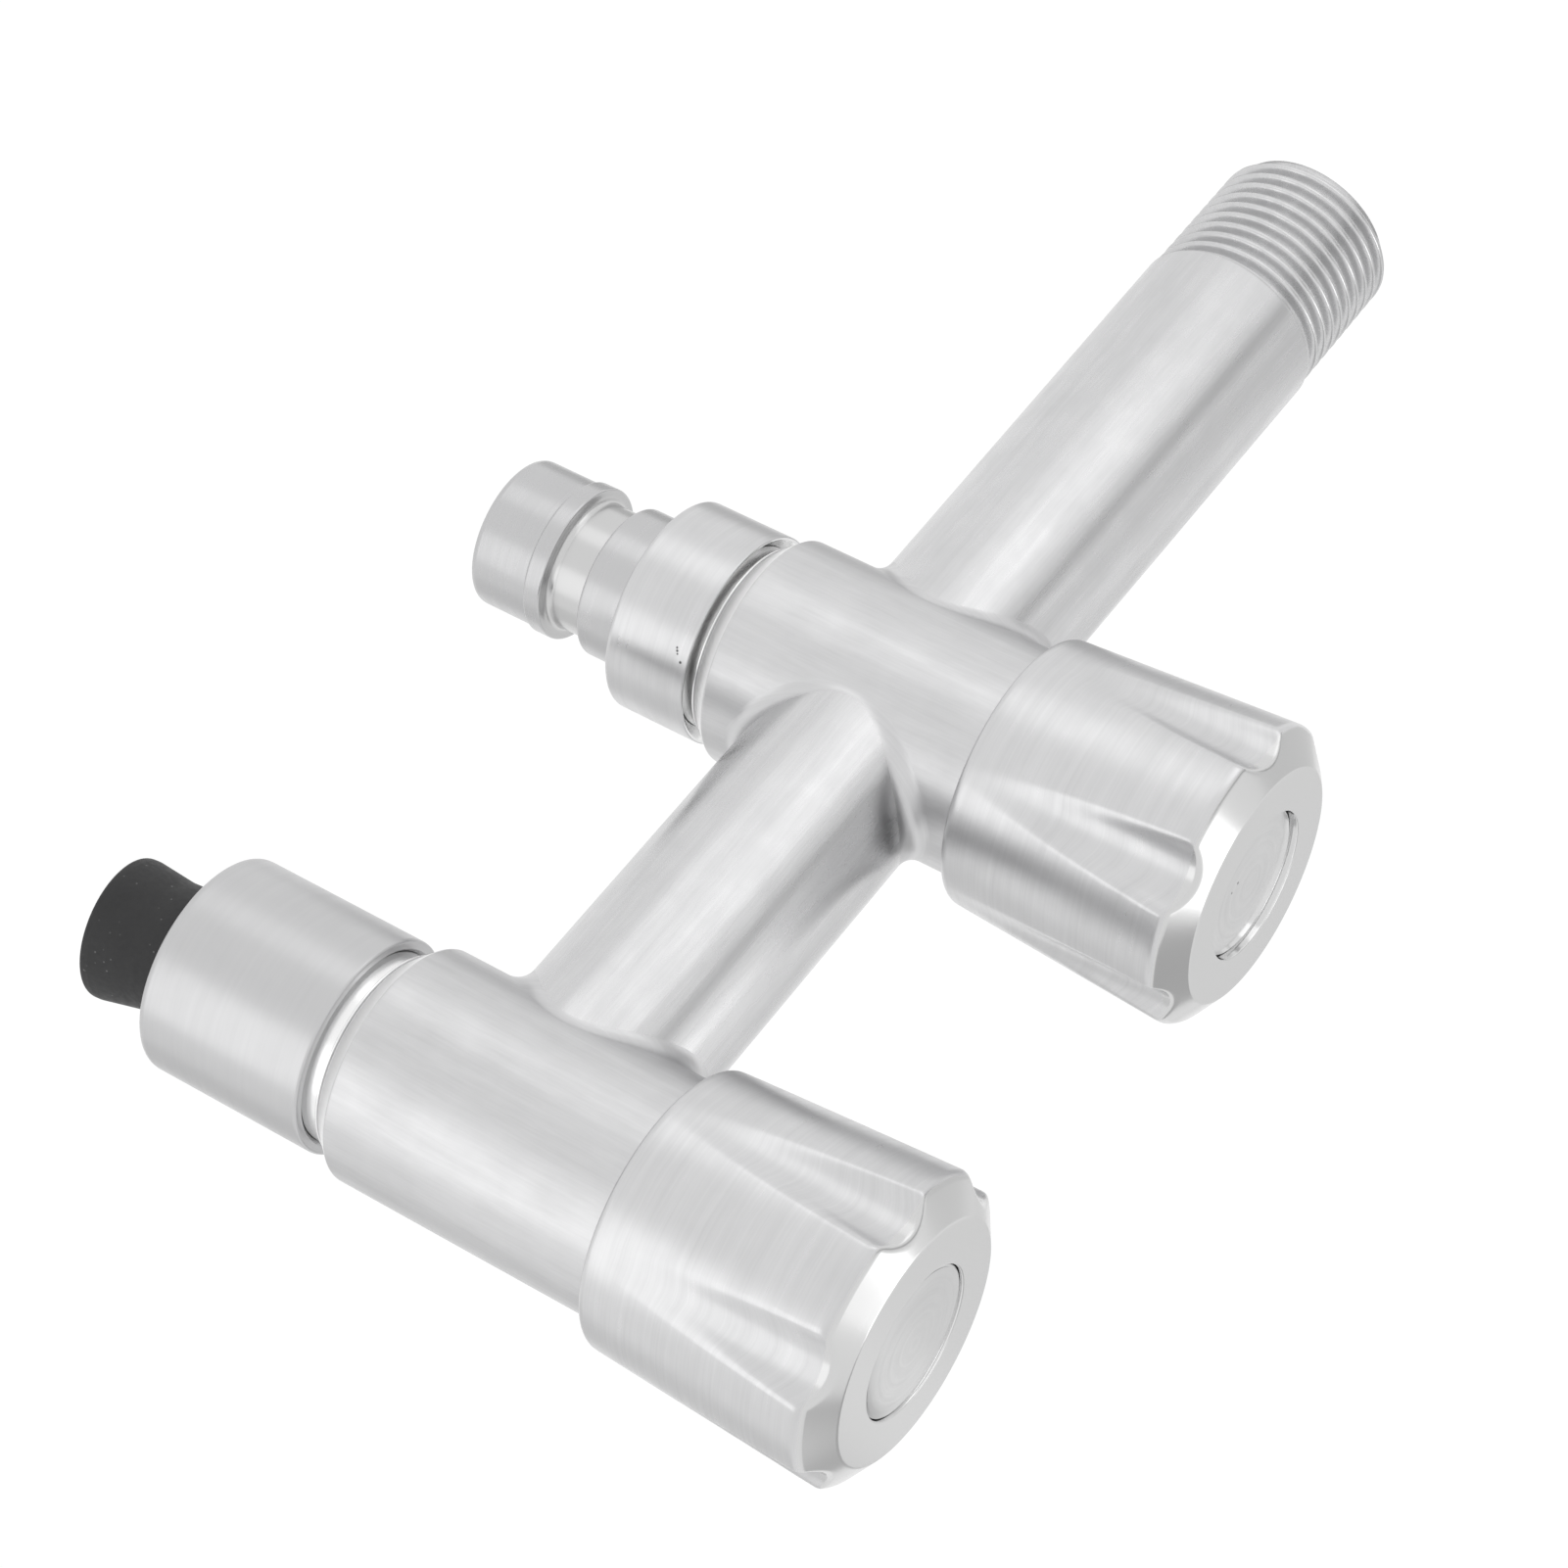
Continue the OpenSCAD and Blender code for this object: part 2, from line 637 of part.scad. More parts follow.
rubber_nozzle();
at_wall() handle(0, wall_flute_turn, wall_recess_d);  // wall_handle
at_front()  // front_handle
    handle(front_lift, front_flute_turn, front_recess_d);
at_wall() index_cap(0, wall_recess_d);  // wall_index_cap
at_front()  // front_index_cap
    index_cap(front_lift, front_recess_d);
at_wall() handle_screw(0);  // wall_handle_screw
at_front() handle_screw(front_lift);  // front_handle_screw
at_wall() spindle(0);  // wall_spindle
at_front() spindle(front_lift);  // front_spindle
at_wall() moving_disc();  // wall_moving_disc
at_front() moving_disc();  // front_moving_disc
at_wall() spindle_rings();  // wall_spindle_rings
at_front() spindle_rings();  // front_spindle_rings
at_wall() circlip();  // wall_circlip
at_front() circlip();  // front_circlip
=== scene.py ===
import json
import math

import bmesh
import bpy
from mathutils import Matrix, Vector


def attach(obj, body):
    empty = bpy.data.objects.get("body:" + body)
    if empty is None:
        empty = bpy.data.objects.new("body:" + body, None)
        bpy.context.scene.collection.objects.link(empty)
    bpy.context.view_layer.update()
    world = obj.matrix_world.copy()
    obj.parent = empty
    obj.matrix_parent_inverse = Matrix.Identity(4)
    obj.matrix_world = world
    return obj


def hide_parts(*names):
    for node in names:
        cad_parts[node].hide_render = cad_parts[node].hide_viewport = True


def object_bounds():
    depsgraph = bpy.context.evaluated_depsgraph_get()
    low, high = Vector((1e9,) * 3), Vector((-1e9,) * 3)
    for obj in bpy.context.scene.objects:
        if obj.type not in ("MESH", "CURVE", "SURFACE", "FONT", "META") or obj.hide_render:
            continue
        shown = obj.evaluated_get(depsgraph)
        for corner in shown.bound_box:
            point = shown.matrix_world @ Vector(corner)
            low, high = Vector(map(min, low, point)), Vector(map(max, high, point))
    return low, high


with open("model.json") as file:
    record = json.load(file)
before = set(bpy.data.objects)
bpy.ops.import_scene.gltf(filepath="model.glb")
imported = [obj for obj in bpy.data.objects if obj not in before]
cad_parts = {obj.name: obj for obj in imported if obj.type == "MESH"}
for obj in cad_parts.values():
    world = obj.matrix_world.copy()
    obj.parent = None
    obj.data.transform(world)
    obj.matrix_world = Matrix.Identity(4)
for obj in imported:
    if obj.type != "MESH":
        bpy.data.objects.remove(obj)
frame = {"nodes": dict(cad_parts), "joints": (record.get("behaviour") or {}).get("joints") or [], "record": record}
cad_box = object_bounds()

# Camera and lamps. The tap lies before a long lens, seen from the handle side and from
# its free end. Two weak soft lamps light what isn't metal; the steel shows the cards below.
PHOTO_PIXELS = 1601
FOCAL_PIXELS = 4857.07
SENSOR = 36.0
EYE = Vector((-0.37189, -0.32760, 0.18615))
EYE_RIGHT = Vector((0.04823, 0.56253, 0.82537))
EYE_UP = Vector((-0.64134, 0.65094, -0.40617))
EYE_FORWARD = Vector((0.76574, 0.50975, -0.39216))
LENS_NEAR = 0.01
LENS_FAR = 20

scene = bpy.context.scene
scene.view_settings.view_transform = "Standard"


def to_world(right, up, forward):
    """A direction or offset given in the camera's own axes."""
    return EYE_RIGHT * right + EYE_UP * up + EYE_FORWARD * forward


def aim(thing, place, target):
    """Put a lamp or card at place with its -Z side towards target."""
    turn = (target - place).to_track_quat("-Z", "Y")
    thing.matrix_world = Matrix.Translation(place) @ turn.to_matrix().to_4x4()


lens = bpy.data.cameras.new("photo_lens")
lens.sensor_width = SENSOR
lens.lens = FOCAL_PIXELS * SENSOR / PHOTO_PIXELS
lens.clip_start = LENS_NEAR
lens.clip_end = LENS_FAR
camera = bpy.data.objects.new("photo_camera", lens)
scene.collection.objects.link(camera)
basis = Matrix((EYE_RIGHT, EYE_UP, -EYE_FORWARD)).transposed()
camera.matrix_world = Matrix.Translation(EYE) @ basis.to_4x4()
scene.camera = camera

middle = (Vector(cad_box[0]) + Vector(cad_box[1])) / 2
LAMP_SIZE = 0.35
LAMPS = (("key_lamp", (0.10, 0.62, -0.30), 0.10), ("fill_lamp", (-0.60, -0.10, -0.35), 0.05))
for name, offset, power in LAMPS:
    lamp = bpy.data.lights.new(name, "AREA")
    lamp.size = LAMP_SIZE
    lamp.energy = power
    bulb = bpy.data.objects.new(name, lamp)
    scene.collection.objects.link(bulb)
    aim(bulb, middle + to_world(*offset), middle)


# Floor. A plain white sheet well below the tap; to the camera and to the steel's
# reflections it is white, and it keeps a faint share of the tap's shadow.
FLOOR_SIZE = 6.0
FLOOR_DROP = 0.14
FLOOR_TONE = 0.8
FLOOR_SHADE = 0.3
FLOOR_GLOW = 0.745


class Term:
    """A number in a node tree: arithmetic on it adds Math nodes."""

    def __init__(self, tree, socket):
        self.tree = tree
        self.socket = socket

    def maths(self, operation, *values):
        node = self.tree.nodes.new("ShaderNodeMath")
        node.operation = operation
        for slot, value in zip(node.inputs, values):
            if isinstance(value, Term):
                self.tree.links.new(value.socket, slot)
            else:
                slot.default_value = value
        return Term(self.tree, node.outputs[0])

    def __add__(self, other):
        return self.maths("ADD", self, other)

    def __radd__(self, other):
        return self.maths("ADD", other, self)

    def __sub__(self, other):
        return self.maths("SUBTRACT", self, other)

    def __rsub__(self, other):
        return self.maths("SUBTRACT", other, self)

    def __mul__(self, other):
        return self.maths("MULTIPLY", self, other)

    def __rmul__(self, other):
        return self.maths("MULTIPLY", other, self)

    def __truediv__(self, other):
        return self.maths("DIVIDE", self, other)

    def __rtruediv__(self, other):
        return self.maths("DIVIDE", other, self)

    def __gt__(self, other):
        return self.maths("GREATER_THAN", self, other)

    def __lt__(self, other):
        return self.maths("LESS_THAN", self, other)

    def __abs__(self):
        return self.maths("ABSOLUTE", self)

    def root(self):
        return self.maths("SQRT", self)

    def sine(self):
        return self.maths("SINE", self)

    def cosine(self):
        return self.maths("COSINE", self)

    def fraction(self):
        return self.maths("FRACT", self)

    def least(self, other):
        return self.maths("MINIMUM", self, other)

    def most(self, other):
        return self.maths("MAXIMUM", self, other)

    def angle_from(self, other):
        return self.maths("ARCTAN2", self, other)

    def held(self):
        return self.most(0.0).least(1.0)

    def eased(self):
        return self.held() * self.held() * (3.0 - 2.0 * self.held())


class Bench:
    """A node tree to work on. add() takes a node's type, its settings and the values or
    links of its sockets, named with _ for a space, or _0, _1 for a socket's number."""

    def __init__(self, tree):
        self.tree = tree

    def add(self, kind, settings=None, **sockets):
        node = self.tree.nodes.new(kind)
        for key, value in (settings or {}).items():
            setattr(node, key, value)
        for key, value in sockets.items():
            slot = node.inputs[int(key[1:]) if key[1:].isdigit() else key.replace("_", " ")]
            if isinstance(value, Term):
                self.tree.links.new(value.socket, slot)
            elif isinstance(value, bpy.types.NodeSocket):
                self.tree.links.new(value, slot)
            else:
                slot.default_value = value
        return node

    def term(self, socket):
        return Term(self.tree, socket)

    def noise(self, place, scale, detail):
        return self.term(self.add("ShaderNodeTexNoise", Vector=place, Scale=scale, Detail=detail).outputs[0])

    def mixed(self, share, one, two):
        return self.add("ShaderNodeMix", {"data_type": "RGBA"}, Factor=share, _6=one, _7=two).outputs[2]


def sight(bench):
    """1 for what the camera sees, straight, in a reflection or through glass; else 0."""
    path = bench.add("ShaderNodeLightPath")
    seen = bench.term(path.outputs["Is Camera Ray"]).most(bench.term(path.outputs["Is Glossy Ray"]))
    return seen.most(bench.term(path.outputs["Is Transmission Ray"]))


def white_floor():
    material = bpy.data.materials.new("white_floor")
    material.use_nodes = True
    bench = Bench(material.node_tree)
    bench.tree.nodes.clear()
    matt = bench.add("ShaderNodeBsdfDiffuse", Color=(FLOOR_TONE, FLOOR_TONE, FLOOR_TONE, 1))
    shade = bench.add("ShaderNodeBsdfDiffuse", Color=(FLOOR_SHADE, FLOOR_SHADE, FLOOR_SHADE, 1))
    glow = bench.add("ShaderNodeEmission", Color=(1, 1, 1, 1), Strength=FLOOR_GLOW)
    both = bench.add("ShaderNodeAddShader", _0=shade.outputs[0], _1=glow.outputs[0])
    pick = bench.add("ShaderNodeMixShader", _0=sight(bench), _1=matt.outputs[0], _2=both.outputs[0])
    bench.add("ShaderNodeOutputMaterial", Surface=pick.outputs[0])
    return material


floor_mesh = bpy.data.meshes.new("floor")
floor_z = cad_box[0][2] - FLOOR_DROP
half = FLOOR_SIZE / 2
floor_mesh.from_pydata([(-half, -half, floor_z), (half, -half, floor_z), (half, half, floor_z),
                        (-half, half, floor_z)], [], [(0, 1, 2, 3)])
floor = bpy.data.objects.new("floor", floor_mesh)
floor_mesh.materials.append(white_floor())
scene.collection.objects.link(floor)

# Sky and cards. The room is an even white. Soft boxes and grey cards, seen only in the
# steel, give it the long pale and grey streaks of satin metal in a studio.
WORLD_LEVEL = 0.92
world = bpy.data.worlds.new("studio")
scene.world = world
world.use_nodes = True
sky = Bench(world.node_tree)
sky.tree.nodes.clear()
room = sky.add("ShaderNodeBackground", Color=(1, 1, 1, 1),
               Strength=WORLD_LEVEL + (1.0 - WORLD_LEVEL) * sight(sky))
sky.add("ShaderNodeOutputWorld", Surface=room.outputs[0])

CARD_REACH = 0.32
ALONG_PIPES = (0.5625, 0.651, 0.510)
ALONG_KNOBS = (0.825, -0.406, -0.392)
CARDS = (
    ("top_box", (0.50, 0.72, -0.50), (0.87, -0.31, -0.20), 0.55, 0.42, 1.50),
    ("top_left_box", (-0.27, 0.88, -0.38), (0.87, -0.31, -0.20), 0.45, 0.42, 1.38),
    ("left_box", (-0.85, -0.28, -0.44), ALONG_KNOBS, 0.80, 0.72, 1.46),
    ("low_box", (0.84, -0.44, -0.30), (-0.44, -0.88, -0.20), 0.50, 0.34, 2.50),
    ("right_card", (0.92, 0.28, -0.27), ALONG_PIPES, 1.20, 0.18, 0.48),
    ("side_card", (0.88, 0.14, 0.42), (-0.50, 0.0, 0.86), 1.05, 0.46, 0.78),
    ("face_card", (0.58, -0.34, 0.74), ALONG_PIPES, 0.50, 0.50, 0.86),
    ("under_card", (0.50, -0.84, 0.20), (-0.30, 0.10, 0.94), 0.95, 0.50, 0.55),
    ("left_back_card", (-0.50, 0.44, 0.75), ALONG_PIPES, 0.60, 0.50, 0.50),
    ("back_card", (-0.12, 0.64, 0.76), (0.98, -0.13, 0.16), 1.15, 0.44, 0.60),
    ("low_card", (-0.58, -0.64, 0.50), (0.70, -0.70, 0.0), 0.90, 0.55, 0.80),
)


def card_paint(name, strength):
    material = bpy.data.materials.new(name + "_paint")
    material.use_nodes = True
    bench = Bench(material.node_tree)
    bench.tree.nodes.clear()
    glow = bench.add("ShaderNodeEmission", Color=(1, 1, 1, 1), Strength=strength)
    bench.add("ShaderNodeOutputMaterial", Surface=glow.outputs[0])
    return material


for name, heading, lengthwise, length, width, strength in CARDS:
    ray = to_world(*heading).normalized()
    run = to_world(*lengthwise)
    run = (run - ray * run.dot(ray)).normalized() * length * CARD_REACH / 2
    rise = ray.cross(run).normalized() * width * CARD_REACH / 2
    hub = middle + ray * CARD_REACH
    sheet = bpy.data.meshes.new(name)
    sheet.from_pydata([hub - run - rise, hub + run - rise, hub + run + rise, hub - run + rise],
                      [], [(0, 1, 2, 3)])
    card = bpy.data.objects.new(name, sheet)
    sheet.materials.append(card_paint(name, strength))
    scene.collection.objects.link(card)
    card.visible_camera = False
    card.visible_shadow = False
    card.visible_diffuse = False

# Wall valve body. A turned and bored stainless steel barrel that carries both pipes and
# the headwork, with a neck below for the union collar; its skin is ground with a fine belt.
MM = 0.001
AXES = {joint["name"]: Vector(joint["pos_m"]) for joint in frame["joints"]}
WALL_Y = AXES["wall_handle_turn"][1]
FRONT_Y = AXES["front_handle_turn"][1]
SEGMENTS = 160
DRILL_SEGMENTS = 64
SHARP = math.radians(38)
CORNER_HOLD = 0.08 * MM
BODY_R = 12.7 * MM
BODY_TOP = 17.0 * MM
BODY_BOTTOM = -18.1 * MM
BODY_CHAMFER = 2.5 * MM
NECK_LEDGE = 0.3 * MM
FOOT_RING = 0.32 * MM
FOOT_STEP = 0.25 * MM
FOOT_GROOVE = 0.1 * MM
CHAMBER_R = 10.4 * MM
SEAT_Z = -9.0 * MM
SEAT_HOLE_R = 4.5 * MM
SEAT_WEB = 1.8 * MM
OUTLET_BORE_R = 6.5 * MM
NECK_R = 10.3 * MM
WALL_NECK_Z = -23.0 * MM
PIPE_BORE_R = 7.6 * MM
STEEL_TONE = 0.67
STEEL_DARK = 0.53
STEEL_BLUE = 0.005
NICK_TONE = 0.10
SHINE_FADE = 0.15 * MM
ALL_ALONG = 1.0
ALL_ACROSS = 1.0
CLOUD_SCALE = 260.0
SMEAR_SCALE = 52.0
GRAIN_SCALES = {"round": ((90.0, 5200.0), (60.0, 1500.0)), "long": ((4200.0, 260.0), (900.0, 60.0))}


def rounded(corners, steps=5):
    """A closed outline of (radius, height, rounding) corners with each corner turned smooth."""
    outline = []
    count = len(corners)
    for i, (r, h, bend) in enumerate(corners):
        here = Vector((r, h))
        before = Vector(corners[i - 1][:2]) - here
        after = Vector(corners[(i + 1) % count][:2]) - here
        if bend <= 0:
            outline.append(here)
            continue
        corner = before.angle(after)
        reach = min(bend / math.tan(corner / 2), before.length * 0.49, after.length * 0.49)
        start = here + before.normalized() * reach
        stop = here + after.normalized() * reach
        hold = min(CORNER_HOLD, reach * 0.3)
        outline.append(start + before.normalized() * hold)
        for k in range(steps + 1):
            t = k / steps
            outline.append(start * (1 - t) ** 2 + here * 2 * t * (1 - t) + stop * t ** 2)
        outline.append(stop + after.normalized() * hold)
    return outline


def turned(name, outline, centre_y, along="Z", segments=SEGMENTS):
    """A piece turned on the lathe: a closed outline swept round Z at centre_y, or round Y."""
    mesh = bpy.data.meshes.new(name)
    points = []
    rings = []
    for r, h in outline:
        if r < 1e-7:
            rings.append([len(points)])
            points.append((0.0, 0.0, h))
            continue
        rings.append(list(range(len(points), len(points) + segments)))
        for i in range(segments):
            a = 2 * math.pi * i / segments
            points.append((r * math.cos(a), r * math.sin(a), h))
    faces = []
    for one, two in zip(rings, rings[1:] + rings[:1]):
        if len(one) == 1 and len(two) == 1:
            continue
        for i in range(segments):
            j = (i + 1) % segments
            if len(one) == 1:
                faces.append((one[0], two[j], two[i]))
            elif len(two) == 1:
                faces.append((one[i], one[j], two[0]))
            else:
                faces.append((one[i], one[j], two[j], two[i]))
    if along == "Y":
        points = [(x, z, -y) for x, y, z in points]
    else:
        points = [(x, y + centre_y, z) for x, y, z in points]
    mesh.from_pydata(points, [], faces)
    return finished(name, mesh)


def creased(mesh):
    """Outward faces and smooth shading, with the sharp corners kept."""
    work = bmesh.new()
    work.from_mesh(mesh)
    bmesh.ops.remove_doubles(work, verts=work.verts, dist=1e-7)
    bmesh.ops.recalc_face_normals(work, faces=work.faces)
    for edge in work.edges:
        edge.smooth = not (edge.is_manifold and edge.calc_face_angle(0) > SHARP)
    for face in work.faces:
        face.smooth = True
    work.to_mesh(mesh)
    work.free()


def finished(name, mesh):
    """An object of the mesh, creased and linked."""
    creased(mesh)
    piece = bpy.data.objects.new(name, mesh)
    scene.collection.objects.link(piece)
    return piece


def applied(piece):
    """The piece with its modifiers made plain mesh."""
    bpy.context.view_layer.update()
    graph = bpy.context.evaluated_depsgraph_get()
    mesh = bpy.data.meshes.new_from_object(piece.evaluated_get(graph))
    old = piece.data
    piece.modifiers.clear()
    piece.data = mesh
    bpy.data.meshes.remove(old)
    mesh.name = piece.name
    return piece


def drilled(piece, centre_y, sides):
    """Cut the side ports of a valve body with a drill along Y."""
    reach = 2 * BODY_R
    profile = [Vector((0, 0)), Vector((PIPE_BORE_R, 0)), Vector((PIPE_BORE_R, reach)), Vector((0, reach))]
    for side in sides:
        drill = turned("drill", profile, 0, segments=DRILL_SEGMENTS)
        drill.data.transform(Matrix.Rotation(math.radians(-90 * side), 4, "X"))
        drill.data.transform(Matrix.Translation((0, centre_y, 0)))
        hole = piece.modifiers.new("port", "BOOLEAN")
        hole.operation = "DIFFERENCE"
        hole.solver = "EXACT"
        hole.object = drill
        applied(piece)
        mesh = drill.data
        bpy.data.objects.remove(drill)
        bpy.data.meshes.remove(mesh)
    creased(piece.data)
    return piece


def grey(level, blue=0.0):
    return (level, level, level + blue, 1)


def steel_skin(name, grain, centre_y=0.0, along="Z", tone=STEEL_TONE, blue=STEEL_BLUE, rough=0.30,
               relief=0.02, polish_and_painted_light=(), nicks=()):
    """Ground stainless steel. grain is 'round' for lathe marks or 'long' for marks along
    the piece; a slow cloud of darker patches and fine scratches vary tone and gloss, and
    blue is what the tone's blue has more than its red and green.
    Each stretch of polish_and_painted_light is (from, to, within, tone, roughness) along the axis,
    inside a radius: its roughness is polish, and a tone lighter than the steel's is painted light,
    against shade in gaps and recesses or as a painted reflection; each nick is (x, y, z, size) in
    millimetres, a small dark knock in the skin."""
    material = bpy.data.materials.new(name)
    material.use_nodes = True
    bench = Bench(material.node_tree)
    bench.tree.nodes.clear()
    place = bench.add("ShaderNodeTexCoord").outputs["Object"]
    split = bench.add("ShaderNodeSeparateXYZ", Vector=place)
    x, y, z = (bench.term(split.outputs[i]) for i in range(3))
    across, side, run = (x, y - centre_y, z) if along == "Z" else (x, z, y)
    radius = (across * across + side * side).root()
    reach = run + radius if grain == "round" else run
    marks = []
    for over, down in GRAIN_SCALES[grain]:
        mark = bench.add("ShaderNodeCombineXYZ", X=across * over, Y=side * over, Z=reach * down)
        marks.append(bench.noise(mark.outputs[0], 1.0, 2.0))
    lines, bands = marks
    cloud = bench.noise(place, CLOUD_SCALE, 3.0)
    smear = bench.noise(place, SMEAR_SCALE, 2.0)
    wear = (cloud - 0.5) * 0.45 + (bands - 0.5) * 0.6 + (lines - 0.5) * 0.5 + (smear - 0.5) * 0.5 + 0.3
    colour = bench.mixed(wear.held(), grey(tone, blue), grey(STEEL_DARK, STEEL_BLUE))
    gloss = rough + (bands - 0.5) * 0.10 + (cloud - 0.5) * 0.08
    height = lines * 0.7 + bands * 0.3
    # A stretch's tone replaces the steel's colour: where it is lighter than the steel it is painted light, and its
    # roughness is polish.
    for low, high, within, tone_with_painted_light, sheen in polish_and_painted_light:
        stretch = ((run - low) / SHINE_FADE).held() * ((high - run) / SHINE_FADE).held()
        zone = stretch * (radius < within)
        colour = bench.mixed(zone, colour, grey(tone_with_painted_light))
        gloss = gloss + (sheen - gloss) * zone
        height = height * (1.0 - 0.7 * zone)
    for nick_x, nick_y, nick_z, size in nicks:
        far_x, far_y, far_z = x - nick_x * MM, y - nick_y * MM, z - nick_z * MM
        far = (far_x * far_x + far_y * far_y + far_z * far_z).root()
        knock = (size * MM - far) / (size * MM * 0.5)
        colour = bench.mixed(knock.held(), colour, grey(NICK_TONE))
    bump = bench.add("ShaderNodeBump", Strength=0.35, Distance=relief * MM, Height=height)
    surface = bench.add("ShaderNodeBsdfPrincipled", Base_Color=colour, Metallic=1.0,
                        Roughness=gloss.held(), Normal=bump.outputs[0])
    bench.add("ShaderNodeOutputMaterial", Surface=surface.outputs[0])
    return material


def dress(piece, material, body, slot, *nodes):
    """Give a finished piece its material and its body, and hide the solids it stands for; slot is not used."""
    piece.data.materials.clear()
    piece.data.materials.append(material)
    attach(piece, body)
    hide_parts(*nodes)


def body_outline(neck_z):
    """Neck, fine ring and groove, cone, barrel and the bores inside."""
    ledge_r = NECK_R + NECK_LEDGE
    ring_r = ledge_r + FOOT_STEP
    groove_z = BODY_BOTTOM + FOOT_RING
    return rounded([
        (OUTLET_BORE_R, neck_z, 0), (NECK_R, neck_z, 0.3 * MM), (NECK_R, BODY_BOTTOM, 0.05 * MM),
        (ring_r, BODY_BOTTOM, 0.1 * MM), (ring_r, groove_z - FOOT_GROOVE, 0.08 * MM),
        (ledge_r, groove_z, 0.04 * MM), (ring_r, groove_z + FOOT_GROOVE, 0.06 * MM),
        (BODY_R, BODY_BOTTOM + BODY_CHAMFER, 0.5 * MM), (BODY_R, BODY_TOP, 0.3 * MM),
        (CHAMBER_R, BODY_TOP, 0), (CHAMBER_R, SEAT_Z, 0), (SEAT_HOLE_R, SEAT_Z, 0),
        (SEAT_HOLE_R, SEAT_Z - SEAT_WEB, 0), (OUTLET_BORE_R, SEAT_Z - SEAT_WEB, 0),
    ])


BARREL_GRIND = 0.36
# The neck in the collar's gap is painted near white, painted light against the gap's shade; the foot cone is
# painted near white, a painted reflection of the bright collar mouth.
NECK_POLISH_AND_PAINTED_LIGHT = (-ALL_ALONG, BODY_BOTTOM + FOOT_RING, ALL_ACROSS, 0.90, 0.24)
CONE_PAINTED_REFLECTION = (BODY_BOTTOM + FOOT_RING, BODY_BOTTOM + BODY_CHAMFER, ALL_ACROSS, 0.97, 0.50)
FOOT_PAINTED_LIGHT = (NECK_POLISH_AND_PAINTED_LIGHT, CONE_PAINTED_REFLECTION)
wall_body = drilled(turned("wall_body_barrel", body_outline(WALL_NECK_Z), WALL_Y), WALL_Y, (1, -1))
dress(wall_body, steel_skin("wall_body_steel", "long", WALL_Y, rough=BARREL_GRIND, polish_and_painted_light=FOOT_PAINTED_LIGHT),
      "tap_body", "brushed_steel", "wall_valve_body")

# Front valve body. The same barrel with one port, and a slightly longer neck that the
# outlet collar covers.
FRONT_NECK_Z = -23.8 * MM
front_body = drilled(turned("front_body_barrel", body_outline(FRONT_NECK_Z), FRONT_Y), FRONT_Y, (1,))
dress(front_body, steel_skin("front_body_steel", "long", FRONT_Y, rough=BARREL_GRIND, polish_and_painted_light=FOOT_PAINTED_LIGHT),
      "tap_body", "brushed_steel", "front_valve_body")

# Inlet pipe. A thick steel tube with a half-inch pipe thread cut on its wall end; the
# other end is coped to the barrel. The thread is worked out by geometry nodes.
PIPE_R = 10.45 * MM
SHOULDER_R = 10.7 * MM
SHOULDER_EDGE = ((0.0, -0.40), (0.0, -0.25), (0.08, -0.08), (0.2, 0.0))
BORE_EDGE = 0.5 * MM
BORE_MATT = (-ALL_ALONG, ALL_ALONG, PIPE_BORE_R + 0.05 * MM, 0.60, 0.70)
THREAD_R = 10.478 * MM
THREAD_LEN = 18.0 * MM
THREAD_CHAMFER = 0.9 * MM
THREAD_PITCH = 25.4 / 14 * MM
THREAD_DEPTH = 1.1 * MM
THREAD_CREST = 0.14
THREAD_FLANK = 1.4
THREAD_RUN_IN = 0.5
THREAD_SEGMENTS = 192
TURN_ROWS = 14
PIPE_LONG_ROWS = 10


def coped(piece, centre_y, side):
    """Bring the end ring of a pipe onto the barrel that it is welded to."""
    for vertex in piece.data.vertices:
        x, y, z = vertex.co
        if (y - centre_y) * side < BODY_R * 0.5:
            vertex.co[1] = centre_y + side * math.sqrt(max(BODY_R ** 2 - x ** 2, 0))
    piece.data.update()
    return piece


